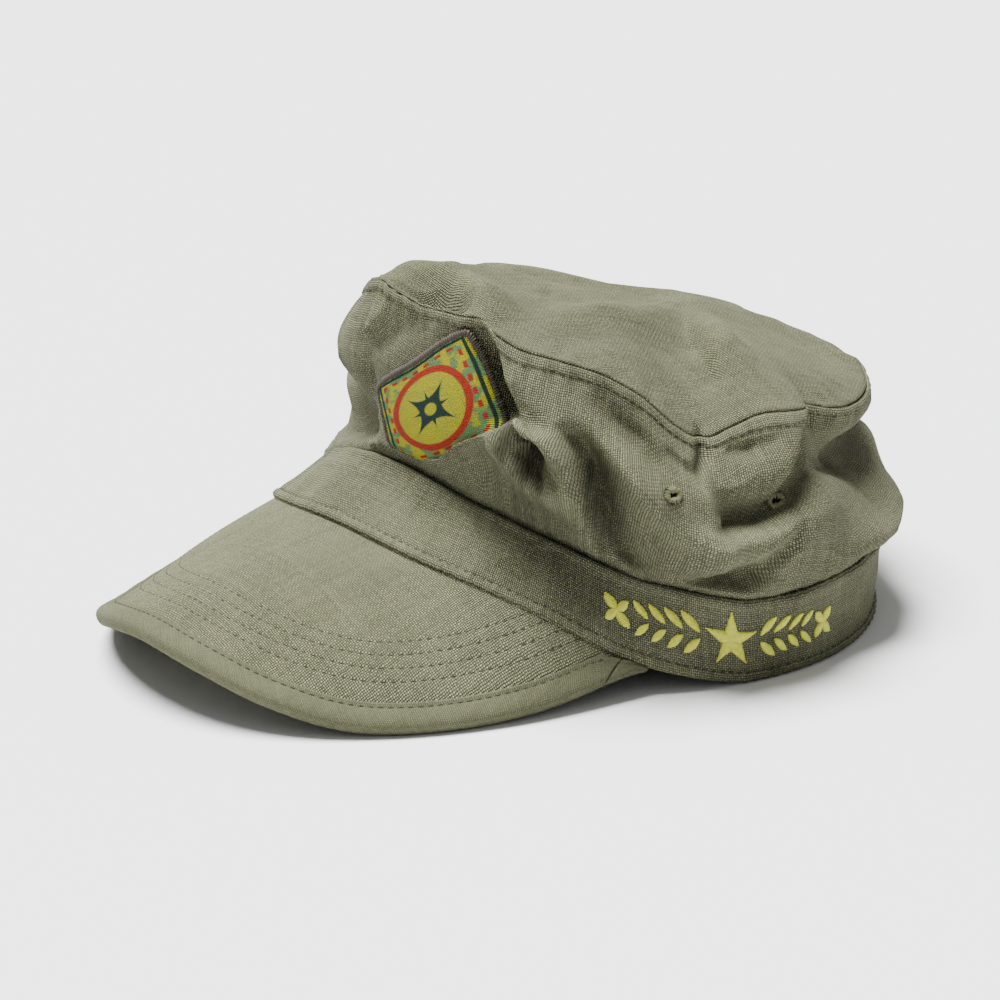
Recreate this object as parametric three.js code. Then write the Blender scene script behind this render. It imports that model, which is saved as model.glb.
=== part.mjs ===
// Soft field cap: a crumpled crown on a plain band, with a stiff arched peak bound along its edge.
// Millimetres, +Z up. The peak points to -Y and the wearer's left is +X.
import * as THREE from 'three';

// Band: an oval ring whose front is carried up by the arch of the peak
const RIM_HALF_WIDTH = 101;
const RIM_HALF_LENGTH = 93.6;
const RIM_BACK_LENGTH = 85;
const FRONT_LIFT = 39.7;
const BAND_HEIGHT = 26;
const BAND_THICKNESS = 1.8;

// Crown: side wall from the band up to the top seam, and the oval panel on it
const CROWN_HALF_WIDTH = 80;
const CROWN_HALF_LENGTH = 81;
const CROWN_SHIFT_LEFT = 2;
const CROWN_SHIFT_BACK = 9;
const SEAM_FRONT_HEIGHT = 110;
const SEAM_BACK_HEIGHT = 61;
const CROWN_BULGE = 9;
const TOP_DOME = 7;
const CLOTH = 1.2;
const FOLD_DEPTH = 7.5;
const FOLD_WIDTH = 11;

// Peak: a stiff cloth-covered board with a folded binding round its edge
const PEAK_HALF_WIDTH = 86;
const PEAK_REACH = 72;
const PEAK_FRONT_HEIGHT = 21;
const PEAK_THICKNESS = 2;
const PEAK_HALF_ANGLE = 60;
const PEAK_CORNER_BACK = 2;
const PEAK_CAMBER = 2.2;
const BINDING_WIDTH = 8.5;
const BINDING_CLOTH = 0.7;

// Patch and eyelets on the crown's side wall
const PATCH_ACROSS = 48;
const PATCH_TALL = 38;
const PATCH_THICKNESS = 1;
const PATCH_BORDER = 2;
const PATCH_ANGLE = 15;
const PATCH_RISE = 0.55;
const PATCH_CELLS = 9;
const EYELET_DIAMETER = 7;
const EYELET_THREAD = 1.4;
const EYELET_RISE = 0.55;
const EYELET_FRONT_ANGLE = 63;
const EYELET_BACK_ANGLE = 83;

const GAP = 0.3;
const LIFT_OFF_CLOTH = 1.1;
const EYELET_LIFT = 0.6;
const FINE_FROM = -15;
const FINE_TO = 110;
const FINE_COLUMNS = 50;
const COARSE_COLUMNS = 46;
const WALL_ROWS = 10;
const BAND_ROWS = 3;
const TOP_RINGS = 6;
const PEAK_COLUMNS = 40;
const PEAK_ROWS = 5;

// Each row: angle from the front, rim height as a share of the front lift, inward lean of the band in degrees
const RIM_ROWS = [
  [0, 1, 50],
  [20, 0.89, 53],
  [40, 0.65, 52],
  [60, 0.235, 28],
  [80, 0, 0],
  [100, 0, -3],
  [130, 0, -3],
  [180, 0, -3],
];

// Each row: angle from the front, seam height as a share of the front one, bulge of the wall as a share
const SEAM_ROWS = [
  [-140, 0.6, 1],
  [-100, 0.72, 0.9],
  [-60, 0.8, 0.55],
  [-30, 0.9, 0.3],
  [-8, 0.99, 0.2],
  [8, 1.01, 0.2],
  [20, 0.99, 0.3],
  [30, 0.91, 0.4],
  [40, 0.875, 0.6],
  [50, 0.835, 0.7],
  [58, 0.775, 0.8],
  [65, 0.69, 0.85],
  [71, 0.645, 0.9],
  [78, 0.665, 0.9],
  [86, 0.68, 0.9],
  [98, 0.665, 0.7],
  [112, 0.62, 0.6],
  [137, 0.59, 0.6],
  [180, 0.55, 0.8],
];

// Each row: share of the way from the middle to the corner, height of the peak's edge as a share of its front
const PEAK_EDGE_ROWS = [
  [0, 1],
  [1 / 6, 0.82],
  [2 / 6, 0.46],
  [3 / 6, 0.14],
  [4 / 6, 0.05],
  [5 / 6, 0.08],
  [1, 0.13],
];

// Wall folds, each row: angle and rise where the fold starts, the same where it ends,
// width above and below its line as shares of the fold width, height as a share of the fold depth
const WALL_FOLDS = [
  [8, 0.05, 24, 0.26, 0.4, 0.9, 0.7],
  [24, 0.26, 40, 0.58, 0.4, 0.9, 0.9],
  [2, 0.3, 22, 0.5, 1.0, 0.5, -0.5],
  [25, 0.98, 32, 0.58, 0.6, 0.6, -0.9],
  [39, 0.48, 42, 0.42, 0.7, 0.7, -0.8],
  [31, 0.92, 35, 0.76, 0.5, 0.8, 0.5],
  [35, 0.8, 59, 0.65, 0.7, 0.9, 0.5],
  [49, 0.86, 58, 0.78, 0.6, 0.6, -0.5],
  [44, 0.63, 51, 0.14, 0.5, 0.4, 0.5],
  [52, 0.48, 53, 0.4, 0.7, 0.7, -0.8],
  [63, 0.85, 58, 0.45, 0.8, 0.6, 0.6],
  [58, 0.45, 68, 0.2, 0.6, 0.8, 0.5],
  [71, 0.98, 69, 0.75, 0.4, 0.5, -0.6],
  [72, 0.5, 88, 0.57, 0.5, 0.6, -0.8],
  [74, 0.34, 90, 0.38, 0.8, 0.8, 0.5],
  [90, 0.55, 117, 0.53, 0.4, 0.5, -0.5],
  [106, 1, 93, 0.87, 0.6, 0.6, 0.4],
  [108, 0.8, 120, 0.72, 0.75, 0.75, -1.2],
  [120, 0.72, 146, 0.7, 0.75, 0.75, -1.8],
  [72, 0.14, 80, 0.18, 0.5, 0.5, -0.6],
  [-25, 0.3, -50, 0.6, 1.0, 1.0, -0.5],
  [-24, 0.26, -56, 0.28, 1.6, 1.6, -1.0],
  [-60, 0.3, -80, 0.7, 0.8, 1.0, 0.5],
  [-95, 0.45, -120, 0.5, 0.7, 0.9, -0.6],
  [-140, 0.35, -165, 0.6, 0.9, 0.9, 0.5],
  [160, 0.4, 178, 0.6, 0.8, 0.9, -0.5],
];

// Top folds, each row: start and end as shares of the crown's half width and half length from its middle,
// width on each side as shares of the fold width, height as a share of the fold depth
const TOP_FOLDS = [
  [0.15, 0.35, 0.92, -0.06, 0.8, 0.4, 0.7],
  [0.48, -0.54, 0.25, 0.02, 1.2, 1.2, 0.5],
  [0.25, 0.02, 0.15, 0.35, 1.2, 1.2, 0.6],
  [-0.27, -0.54, 0.3, -0.47, 1.0, 1.0, 0.5],
  [0.08, -0.9, 0.12, -0.8, 0.7, 0.7, -0.5],
  [0.3, -0.82, 0.33, -0.74, 0.7, 0.7, -0.5],
  [0.6, -0.1, 0.45, 0.05, 1.4, 1.0, -0.5],
  [-0.5, -0.1, -0.2, 0.5, 1.4, 1.4, -0.5],
  [-0.6, 0.3, -0.1, 0.75, 1.0, 1.2, 0.5],
  [0.14, 0.6, 0.42, 0.86, 1.0, 1.3, 0.6],
  [0.02, -0.3, 0.06, 0, 1.6, 1.6, -0.4],
];

const UP = new THREE.Vector3(0, 0, 1);
const OLIVE = new THREE.Color(0x6a6850);
const OLIVE_THREAD = new THREE.Color(0x6c6a48);
const PATCH_COLOUR = new THREE.Color(0xb5b36a);
const BORDER_COLOUR = new THREE.Color(0x4a4239);
const rad = THREE.MathUtils.degToRad;
const clamp = THREE.MathUtils.clamp;
const smoothstep = THREE.MathUtils.smoothstep;

// Smooth curve through table rows: column 0 holds the place, the named column the value
function through(rows, column, place) {
  const last = rows.length - 1;
  const x = clamp(place, rows[0][0], rows[last][0]);
  let i = 0;
  while (i < last - 1 && x > rows[i + 1][0]) i += 1;
  const slope = (k) => {
    if (k <= 0 || k >= last) return 0;
    return (rows[k + 1][column] - rows[k - 1][column]) / (rows[k + 1][0] - rows[k - 1][0]);
  };
  const span = rows[i + 1][0] - rows[i][0];
  const t = (x - rows[i][0]) / span;
  const rise = rows[i][column] * (1 + 2 * t) * (1 - t) ** 2 + rows[i + 1][column] * t * t * (3 - 2 * t);
  return rise + slope(i) * span * t * (1 - t) ** 2 + slope(i + 1) * span * t * t * (t - 1);
}

// The same round the whole cap, where the last row leads on to the first
function around(rows, column, angle) {
  const first = rows[0];
  const end = rows[rows.length - 1];
  const wrapped = [[end[0] - 360, ...end.slice(1)], ...rows, [first[0] + 360, ...first.slice(1)]];
  return through(wrapped, column, angle);
}

// Height of a fold at a point of a flat pattern, wider on one side of its line than on the other
function foldHeight(x, y, fromX, fromY, toX, toY, widthAbove, widthBelow) {
  const dx = toX - fromX;
  const dy = toY - fromY;
  const along = clamp(((x - fromX) * dx + (y - fromY) * dy) / (dx * dx + dy * dy), 0, 1);
  const offX = x - fromX - along * dx;
  const offY = y - fromY - along * dy;
  const distance = Math.hypot(offX, offY);
  const side = (dx * offY - dy * offX) / (Math.hypot(dx, dy) * Math.max(distance, 1e-6));
  const width = THREE.MathUtils.lerp(widthBelow, widthAbove, (1 + side) / 2);
  return Math.exp(-((distance / width) ** 2));
}

// Half length of the rim on the side, front or back, of an angle in radians
function rimLength(a) {
  return Math.cos(a) > 0 ? RIM_HALF_LENGTH : RIM_BACK_LENGTH;
}

function outward(angle) {
  const a = rad(angle);
  return new THREE.Vector3(Math.sin(a) / RIM_HALF_WIDTH, -Math.cos(a) / rimLength(a), 0).normalize();
}

function rimPoint(angle) {
  const a = rad(angle);
  const height = Math.max(0, FRONT_LIFT * through(RIM_ROWS, 1, Math.abs(angle)));
  return new THREE.Vector3(RIM_HALF_WIDTH * Math.sin(a), -rimLength(a) * Math.cos(a), height);
}

// Directions of the band at an angle: up along its cloth, and square to its face
function bandFrame(angle) {
  const lean = rad(through(RIM_ROWS, 2, Math.abs(angle)));
  const out = outward(angle);
  const up = UP.clone().multiplyScalar(Math.cos(lean)).addScaledVector(out, -Math.sin(lean));
  const face = out.multiplyScalar(Math.cos(lean)).addScaledVector(UP, Math.sin(lean));
  return { up, face };
}

function bandTopPoint(angle) {
  return rimPoint(angle).addScaledVector(bandFrame(angle).up, BAND_HEIGHT);
}

function seamPoint(angle) {
  const a = rad(angle);
  return new THREE.Vector3(
    CROWN_SHIFT_LEFT + CROWN_HALF_WIDTH * Math.sin(a),
    CROWN_SHIFT_BACK - CROWN_HALF_LENGTH * Math.cos(a),
    SEAM_FRONT_HEIGHT * around(SEAM_ROWS, 1, angle),
  );
}

// Height of the wall folds at an angle and a rise, which is 0 at the band and 1 at the top seam
function wallFoldHeight(angle, rise) {
  const perDegree = rad(1) * CROWN_HALF_WIDTH;
  const wallHeight = SEAM_FRONT_HEIGHT / 2;
  let height = 0;
  for (const [fromAngle, fromRise, toAngle, toRise, above, below, share] of WALL_FOLDS) {
    const turn = ((((angle - fromAngle + 180) % 360) + 360) % 360) - 180;
    height += share * FOLD_DEPTH * foldHeight(
      turn * perDegree, rise * wallHeight,
      0, fromRise * wallHeight,
      (toAngle - fromAngle) * perDegree, toRise * wallHeight,
      above * FOLD_WIDTH, below * FOLD_WIDTH,
    );
  }
  return height;
}

function topFoldHeight(x, y) {
  let height = 0;
  for (const [fromX, fromY, toX, toY, left, right, share] of TOP_FOLDS) {
    height += share * FOLD_DEPTH * foldHeight(
      x - CROWN_SHIFT_LEFT, y - CROWN_SHIFT_BACK,
      fromX * CROWN_HALF_WIDTH, fromY * CROWN_HALF_LENGTH,
      toX * CROWN_HALF_WIDTH, toY * CROWN_HALF_LENGTH,
      left * FOLD_WIDTH, right * FOLD_WIDTH,
    );
  }
  return height;
}

// Outer face of the crown: rise 0 to 1 is the side wall, 1 to 2 runs from the seam to the top's middle
function crownPoint(angle, rise) {
  const onWall = clamp(rise, 0, 1);
  const onTop = clamp(rise - 1, 0, 1);
  const out = outward(angle);
  const seam = seamPoint(angle);
  const point = bandTopPoint(angle).lerp(seam, onWall);
  const bulge = CROWN_BULGE * around(SEAM_ROWS, 2, angle);
  point.addScaledVector(out, bulge * Math.sin(Math.PI * onWall) ** 0.8);
  if (onTop > 0) {
    const tilt = (y) => (SEAM_FRONT_HEIGHT + SEAM_BACK_HEIGHT) / 2
      - ((SEAM_FRONT_HEIGHT - SEAM_BACK_HEIGHT) / 2) * ((y - CROWN_SHIFT_BACK) / CROWN_HALF_LENGTH);
    const aboveTilt = seam.z - tilt(seam.y);
    point.copy(seam).lerp(new THREE.Vector3(CROWN_SHIFT_LEFT, CROWN_SHIFT_BACK, 0), onTop);
    point.z = tilt(point.y) + aboveTilt * (1 - onTop) ** 3 + TOP_DOME * (1 - (1 - onTop) ** 3);
  }
  const clearOfBand = smoothstep(onWall, 0, 0.16);
  const fadeOnTop = 1 - smoothstep(onTop, 0, 0.3);
  const fadeOnWall = smoothstep(onWall, 0.7, 1);
  point.addScaledVector(out, wallFoldHeight(angle, rise) * clearOfBand * fadeOnTop);
  point.z += topFoldHeight(point.x, point.y) * fadeOnWall;
  return point;
}

// Closed mesh from an outer and an inner grid of points, which meet along the grid's free edges
function shellGeometry(outer, inner, closedAround, closedMiddle = false) {
  const rows = outer.length;
  const columns = outer[0].length;
  const positions = [];
  const index = [];
  const add = (p) => {
    positions.push(p.x, p.y, p.z);
    return positions.length / 3 - 1;
  };
  const outerIds = outer.map((row) => row.map(add));
  const innerIds = inner.map((row) => row.map(add));
  const quad = (a, b, c, d) => index.push(a, b, c, a, c, d);
  const steps = closedAround ? columns : columns - 1;
  for (let i = 0; i < rows - 1; i += 1) {
    for (let j = 0; j < steps; j += 1) {
      const k = (j + 1) % columns;
      quad(outerIds[i][j], outerIds[i][k], outerIds[i + 1][k], outerIds[i + 1][j]);
      quad(innerIds[i][j], innerIds[i + 1][j], innerIds[i + 1][k], innerIds[i][k]);
    }
  }
  for (let j = 0; j < steps; j += 1) {
    const k = (j + 1) % columns;
    quad(outerIds[0][j], innerIds[0][j], innerIds[0][k], outerIds[0][k]);
    if (!closedMiddle) {
      const e = rows - 1;
      quad(outerIds[e][j], outerIds[e][k], innerIds[e][k], innerIds[e][j]);
    }
  }
  if (closedMiddle) {
    const mean = (row) => {
      const sum = new THREE.Vector3();
      row.forEach((p) => sum.add(p));
      return sum.divideScalar(row.length);
    };
    const outerMiddle = add(mean(outer[rows - 1]));
    const innerMiddle = add(mean(inner[rows - 1]));
    for (let j = 0; j < columns; j += 1) {
      const k = (j + 1) % columns;
      index.push(outerIds[rows - 1][j], outerIds[rows - 1][k], outerMiddle);
      index.push(innerIds[rows - 1][k], innerIds[rows - 1][j], innerMiddle);
    }
  }
  if (!closedAround) {
    const e = columns - 1;
    for (let i = 0; i < rows - 1; i += 1) {
      quad(outerIds[i][0], outerIds[i + 1][0], innerIds[i + 1][0], innerIds[i][0]);
      quad(outerIds[i][e], innerIds[i][e], innerIds[i + 1][e], outerIds[i + 1][e]);
    }
  }
  const geometry = new THREE.BufferGeometry();
  geometry.setAttribute('position', new THREE.Float32BufferAttribute(positions, 3));
  geometry.setIndex(index);
  geometry.computeVertexNormals();
  return geometry;
}

// Closed mesh swept through rings of points, whose ends are filled by the section's own triangles
function sweptGeometry(rings, endTriangles) {
  const count = rings[0].length;
  const last = (rings.length - 1) * count;
  const index = [];
  for (let i = 0; i < rings.length - 1; i += 1) {
    for (let j = 0; j < count; j += 1) {
      const k = (j + 1) % count;
      const a = i * count;
      const b = a + count;
      index.push(a + j, b + k, b + j, a + j, a + k, b + k);
    }
  }
  for (const [a, b, c] of endTriangles) {
    index.push(a, c, b);
    index.push(last + a, last + b, last + c);
  }
  const geometry = new THREE.BufferGeometry();
  const positions = rings.flat().flatMap((p) => [p.x, p.y, p.z]);
  geometry.setAttribute('position', new THREE.Float32BufferAttribute(positions, 3));
  geometry.setIndex(index);
  geometry.computeVertexNormals();
  return geometry;
}

// Unit normals of a grid of points that runs round the cap
function gridNormals(grid, closedAround) {
  const columns = grid[0].length;
  const at = (i, j) => {
    const row = grid[clamp(i, 0, grid.length - 1)];
    return closedAround ? row[(j + columns) % columns] : row[clamp(j, 0, columns - 1)];
  };
  return grid.map((row, i) => row.map((point, j) => {
    const across = at(i, j + 1).clone().sub(at(i, j - 1));
    const upward = at(i + 1, j).clone().sub(at(i - 1, j));
    return across.cross(upward).normalize();
  }));
}

// Angles of the columns round the cap, closer together where the folds are finest
function ringAngles() {
  const fine = Array.from({ length: FINE_COLUMNS }, (_, j) => FINE_FROM + (j * (FINE_TO - FINE_FROM)) / FINE_COLUMNS);
  const rest = 360 - (FINE_TO - FINE_FROM);
  const coarse = Array.from({ length: COARSE_COLUMNS }, (_, j) => FINE_TO + (j * rest) / COARSE_COLUMNS);
  return [...fine, ...coarse].map((angle) => (angle > 180 ? angle - 360 : angle));
}

function piece(name, geometry, colour, roughness) {
  const material = new THREE.MeshStandardMaterial({ color: colour, roughness, metalness: 0 });
  const mesh = new THREE.Mesh(geometry, material);
  mesh.name = name;
  return mesh;
}

// Band
function bandGeometry() {
  const angles = ringAngles();
  const outer = [];
  const inner = [];
  for (let i = 0; i <= BAND_ROWS; i += 1) {
    const share = i / BAND_ROWS;
    outer.push(angles.map((angle) => rimPoint(angle).lerp(bandTopPoint(angle), share)));
    inner.push(angles.map((angle, j) => {
      const level = outward(angle);
      const raised = clamp((80 - Math.abs(angle)) / 10, 0, 1);
      const face = level.lerp(bandFrame(angle).face, i === 0 ? raised : 1).normalize();
      return outer[i][j].clone().addScaledVector(face, -BAND_THICKNESS);
    }));
  }
  return shellGeometry(outer, inner, true);
}

// Outer points of the crown's side wall, whose lower edge stands just above the band's upper one
function wallGrid() {
  const angles = ringAngles();
  const grid = [];
  for (let i = 0; i <= WALL_ROWS; i += 1) {
    grid.push(angles.map((angle) => crownPoint(angle, i / WALL_ROWS)));
  }
  grid[0].forEach((point, j) => point.addScaledVector(bandFrame(angles[j]).up, GAP));
  return grid;
}

// Crown side wall
function wallGeometry(outer) {
  const angles = ringAngles();
  const normals = gridNormals(outer, true);
  const inner = outer.map((row, i) => row.map((point, j) => {
    let inward = normals[i][j];
    if (i === 0) inward = bandFrame(angles[j]).face;
    if (i === WALL_ROWS) inward = outward(angles[j]);
    return point.clone().addScaledVector(inward, -CLOTH);
  }));
  return shellGeometry(outer, inner, true);
}

// Top panel, which lies on the wall's upper edge
function topGeometry() {
  const angles = ringAngles();
  const flat = (2 * CLOTH) / CROWN_HALF_LENGTH;
  const inner = [];
  for (let i = 0; i < TOP_RINGS; i += 1) {
    const share = i === 0 ? 0 : flat + ((0.86 - flat) * (i - 1)) / (TOP_RINGS - 2);
    inner.push(angles.map((angle) => {
      const point = crownPoint(angle, 1 + Math.max(0, share - flat));
      if (share > 0 && share <= flat) point.addScaledVector(outward(angle), -2 * CLOTH);
      point.z += GAP;
      return point;
    }));
  }
  const outer = inner.map((row) => row.map((point) => point.clone().addScaledVector(UP, CLOTH)));
  return shellGeometry(outer, inner, true, true);
}

// Peak: across runs from -1 to 1 between its corners, out from 0 at the band to 1 at its edge
function peakInnerEdge(across) {
  const angle = across * PEAK_HALF_ANGLE;
  const { up, face } = bandFrame(angle);
  const point = rimPoint(angle).addScaledVector(up, -GAP);
  return point.addScaledVector(face, -PEAK_THICKNESS / 2);
}

function peakOuterEdge(across) {
  const turn = Math.abs(across) * (Math.PI / 2);
  const corner = rimPoint(PEAK_HALF_ANGLE);
  const cornerY = corner.y + PEAK_CORNER_BACK;
  const frontY = -RIM_HALF_LENGTH - PEAK_REACH;
  return new THREE.Vector3(
    PEAK_HALF_WIDTH * Math.sin(turn) * Math.sign(across),
    cornerY + (frontY - cornerY) * Math.max(0, Math.cos(turn)) ** 0.85,
    PEAK_FRONT_HEIGHT * through(PEAK_EDGE_ROWS, 1, Math.abs(across)),
  );
}

function peakPoint(across, out) {
  const point = peakInnerEdge(across).lerp(peakOuterEdge(across), out);
  point.z += PEAK_CAMBER * Math.sin(Math.PI * clamp(out, 0, 1)) * (1 - Math.abs(across) ** 4);
  return point;
}

// Direction square to the peak's face
function peakFace(across, out) {
  const step = 0.01;
  const place = clamp(across, -1 + step, 1 - step);
  const along = peakPoint(place + step, out).sub(peakPoint(place - step, out));
  const inward = peakInnerEdge(across).sub(peakOuterEdge(across));
  return along.cross(inward).normalize();
}

function peakShares() {
  return Array.from({ length: PEAK_COLUMNS + 1 }, (_, j) => Math.sin((Math.PI / 2) * ((2 * j) / PEAK_COLUMNS - 1)));
}

function peakGeometry() {
  const shares = peakShares().map((share) => share * 0.97);
  const clearOfNose = BINDING_CLOTH + 2 * GAP;
  const top = [];
  const under = [];
  for (let i = 0; i <= PEAK_ROWS; i += 1) {
    const row = shares.map((across) => {
      const reach = peakOuterEdge(across).distanceTo(peakInnerEdge(across));
      const out = (i / PEAK_ROWS) * (1 - clearOfNose / reach);
      const face = i === 0 ? bandFrame(across * PEAK_HALF_ANGLE).face : peakFace(across, out);
      return { point: peakPoint(across, out), face };
    });
    top.push(row.map(({ point, face }) => point.clone().addScaledVector(face, PEAK_THICKNESS / 2)));
    under.push(row.map(({ point, face }) => point.clone().addScaledVector(face, -PEAK_THICKNESS / 2)));
  }
  return shellGeometry(top.reverse(), under.reverse(), false);
}

// Binding: a folded strip round the peak's edge, U-shaped in section and open towards the board
function bindingGeometry() {
  const inside = PEAK_THICKNESS / 2 + GAP;
  const outside = inside + BINDING_CLOTH;
  const sectionAt = (width) => [
    [width, outside],
    [width / 2, outside],
    [outside * 0.4, outside],
    [-outside * 0.1, outside * 0.55],
    [-outside * 0.1, -outside * 0.55],
    [outside * 0.4, -outside],
    [width, -outside],
    [width, -inside],
    [BINDING_CLOTH, -inside],
    [BINDING_CLOTH, inside],
    [width, inside],
  ];
  const rings = peakShares().map((across) => {
    const reach = peakOuterEdge(across).distanceTo(peakInnerEdge(across));
    const section = sectionAt(Math.min(BINDING_WIDTH, 0.6 * reach));
    return section.map(([back, side]) => {
      const out = 1 - back / reach;
      const point = peakPoint(across, out).addScaledVector(peakFace(across, out), side);
      point.z = Math.max(0, point.z);
      return point;
    });
  });
  const outline = sectionAt(BINDING_WIDTH).map(([back, side]) => new THREE.Vector2(back, side));
  return sweptGeometry(rings, THREE.ShapeUtils.triangulateShape(outline, []));
}

// Patch: a square set on its corner, which follows the wall. Both shares run from -1 to 1 between its sides.

// Point on the wall's own facets, moved out from them
function wallOffset(angle, rise, offset) {
  const angles = ringAngles();
  const turnTo = (j) => (((angle - angles[j]) % 360) + 360) % 360;
  const j = angles.reduce((best, _, k) => (turnTo(k) < turnTo(best) ? k : best), 0);
  const next = (j + 1) % angles.length;
  const column = j + turnTo(j) / ((((angles[next] - angles[j]) % 360) + 360) % 360);
  const row = clamp(rise * WALL_ROWS, 0, WALL_ROWS - 0.001);
  const i = Math.floor(row);
  const at = (a, b) => wall[a][b % angles.length];
  const across = at(i, j + 1).clone().sub(at(i, j)).lerp(at(i + 1, j + 1).clone().sub(at(i + 1, j)), row - i);
  const upward = at(i + 1, j).clone().sub(at(i, j)).lerp(at(i + 1, j + 1).clone().sub(at(i, j + 1)), column - j);
  const point = at(i, j).clone().lerp(at(i, j + 1), column - j);
  point.addScaledVector(upward, row - i);
  return point.addScaledVector(across.cross(upward).normalize(), offset);
}

function patchPoint(shareA, shareB, offset) {
  const perDegree = rad(1) * CROWN_HALF_WIDTH;
  const wallHeight = SEAM_FRONT_HEIGHT / 2;
  const angle = PATCH_ANGLE + (((shareA - shareB) / 2) * PATCH_ACROSS) / 2 / perDegree;
  const rise = PATCH_RISE + (((shareA + shareB) / 2) * PATCH_TALL) / 2 / wallHeight;
  return wallOffset(angle, rise, offset);
}

function patchBorderShare() {
  return 1 - (2 * PATCH_BORDER) / Math.hypot(PATCH_ACROSS / 2, PATCH_TALL / 2);
}

function patchGeometry() {
  const reach = patchBorderShare() - GAP / PATCH_TALL;
  const steps = Array.from({ length: PATCH_CELLS + 1 }, (_, i) => reach * ((2 * i) / PATCH_CELLS - 1));
  const face = (offset) => steps.map((b) => steps.map((a) => patchPoint(a, b, offset)));
  return shellGeometry(face(LIFT_OFF_CLOTH + PATCH_THICKNESS), face(LIFT_OFF_CLOTH), false);
}

function patchBorderGeometry() {
  const corners = [[-1, -1], [1, -1], [1, 1], [-1, 1]];
  const loop = [];
  corners.forEach(([a, b], i) => {
    const [nextA, nextB] = corners[(i + 1) % corners.length];
    for (let k = 0; k < PATCH_CELLS; k += 1) {
      const t = k / PATCH_CELLS;
      loop.push([a + (nextA - a) * t, b + (nextB - b) * t]);
    }
  });
  const inner = patchBorderShare();
  const face = (offset) => [1, inner].map((share) => loop.map(([a, b]) => patchPoint(share * a, share * b, offset)));
  return shellGeometry(face(LIFT_OFF_CLOTH + PATCH_THICKNESS), face(LIFT_OFF_CLOTH), true);
}

// Eyelet: a ring of thread round a hole in the side wall
function eyelet(name, angle) {
  const ring = new THREE.TorusGeometry((EYELET_DIAMETER - EYELET_THREAD) / 2, EYELET_THREAD / 2, 6, 12);
  const mesh = piece(name, ring, OLIVE_THREAD, 0.7);
  const seat = wallOffset(angle, EYELET_RISE, EYELET_THREAD / 2 + EYELET_LIFT);
  const face = seat.clone().sub(wallOffset(angle, EYELET_RISE, 0)).normalize();
  mesh.position.copy(seat);
  mesh.quaternion.setFromUnitVectors(UP, face);
  return mesh;
}

const wall = wallGrid();
const cap = new THREE.Group();
cap.add(piece('band', bandGeometry(), OLIVE, 0.9));
cap.add(piece('crown_wall', wallGeometry(wall), OLIVE, 0.9));
cap.add(piece('top_panel', topGeometry(), OLIVE, 0.9));
cap.add(piece('peak', peakGeometry(), OLIVE, 0.9));
cap.add(piece('peak_binding', bindingGeometry(), OLIVE, 0.9));
cap.add(piece('patch', patchGeometry(), PATCH_COLOUR, 0.8));
cap.add(piece('patch_border', patchBorderGeometry(), BORDER_COLOUR, 0.9));
cap.add(eyelet('eyelet_left_front', EYELET_FRONT_ANGLE));
cap.add(eyelet('eyelet_left_back', EYELET_BACK_ANGLE));
cap.add(eyelet('eyelet_right_front', -EYELET_FRONT_ANGLE));
cap.add(eyelet('eyelet_right_back', -EYELET_BACK_ANGLE));

// The origin goes to the middle of the underside
const box = new THREE.Box3().setFromObject(cap, true);
const middle = box.getCenter(new THREE.Vector3());
cap.position.set(-middle.x, -middle.y, -box.min.z);
const group = new THREE.Group();
group.add(cap);

export default group;
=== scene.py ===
# Looks of the army cap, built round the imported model. Lengths are in millimetres until mesh_object turns
# them into metres. The peak points to -Y, the wearer's left is +X and the floor is at z = 0.
import math

import bpy
import numpy as np
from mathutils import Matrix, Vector


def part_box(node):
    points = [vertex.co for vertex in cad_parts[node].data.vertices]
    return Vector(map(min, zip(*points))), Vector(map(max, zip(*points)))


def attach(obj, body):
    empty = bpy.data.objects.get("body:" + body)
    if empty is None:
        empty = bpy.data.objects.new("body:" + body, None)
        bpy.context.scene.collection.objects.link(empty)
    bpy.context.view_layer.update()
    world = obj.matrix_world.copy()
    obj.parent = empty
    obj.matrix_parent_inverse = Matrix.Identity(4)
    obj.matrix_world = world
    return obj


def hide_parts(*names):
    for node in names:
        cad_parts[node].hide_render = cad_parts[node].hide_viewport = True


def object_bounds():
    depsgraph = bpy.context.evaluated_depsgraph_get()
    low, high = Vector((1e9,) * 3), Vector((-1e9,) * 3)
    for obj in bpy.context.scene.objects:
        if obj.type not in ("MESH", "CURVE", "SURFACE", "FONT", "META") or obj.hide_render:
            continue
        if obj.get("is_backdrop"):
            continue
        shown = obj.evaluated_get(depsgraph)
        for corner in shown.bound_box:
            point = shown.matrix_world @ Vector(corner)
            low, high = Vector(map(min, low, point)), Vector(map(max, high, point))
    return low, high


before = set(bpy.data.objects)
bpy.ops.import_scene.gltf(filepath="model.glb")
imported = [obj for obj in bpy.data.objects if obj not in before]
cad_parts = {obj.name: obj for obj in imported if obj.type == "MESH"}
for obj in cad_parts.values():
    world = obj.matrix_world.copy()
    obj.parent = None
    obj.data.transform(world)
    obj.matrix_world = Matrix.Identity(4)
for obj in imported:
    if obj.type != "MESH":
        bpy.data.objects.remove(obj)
CAD_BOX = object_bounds()
MM = 0.001

# Band and rim: the rim is the band's lower edge, two half ellipses of one width
RIM_HALF_WIDTH = 101.0
RIM_HALF_LENGTH = 93.6
RIM_BACK_LENGTH = 85.0
FRONT_LIFT = 39.7
BAND_HEIGHT = 26.0
BAND_THICKNESS = 1.8
HEM = 3.2
BACK_SEAM_ANGLE = 180.0

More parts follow.
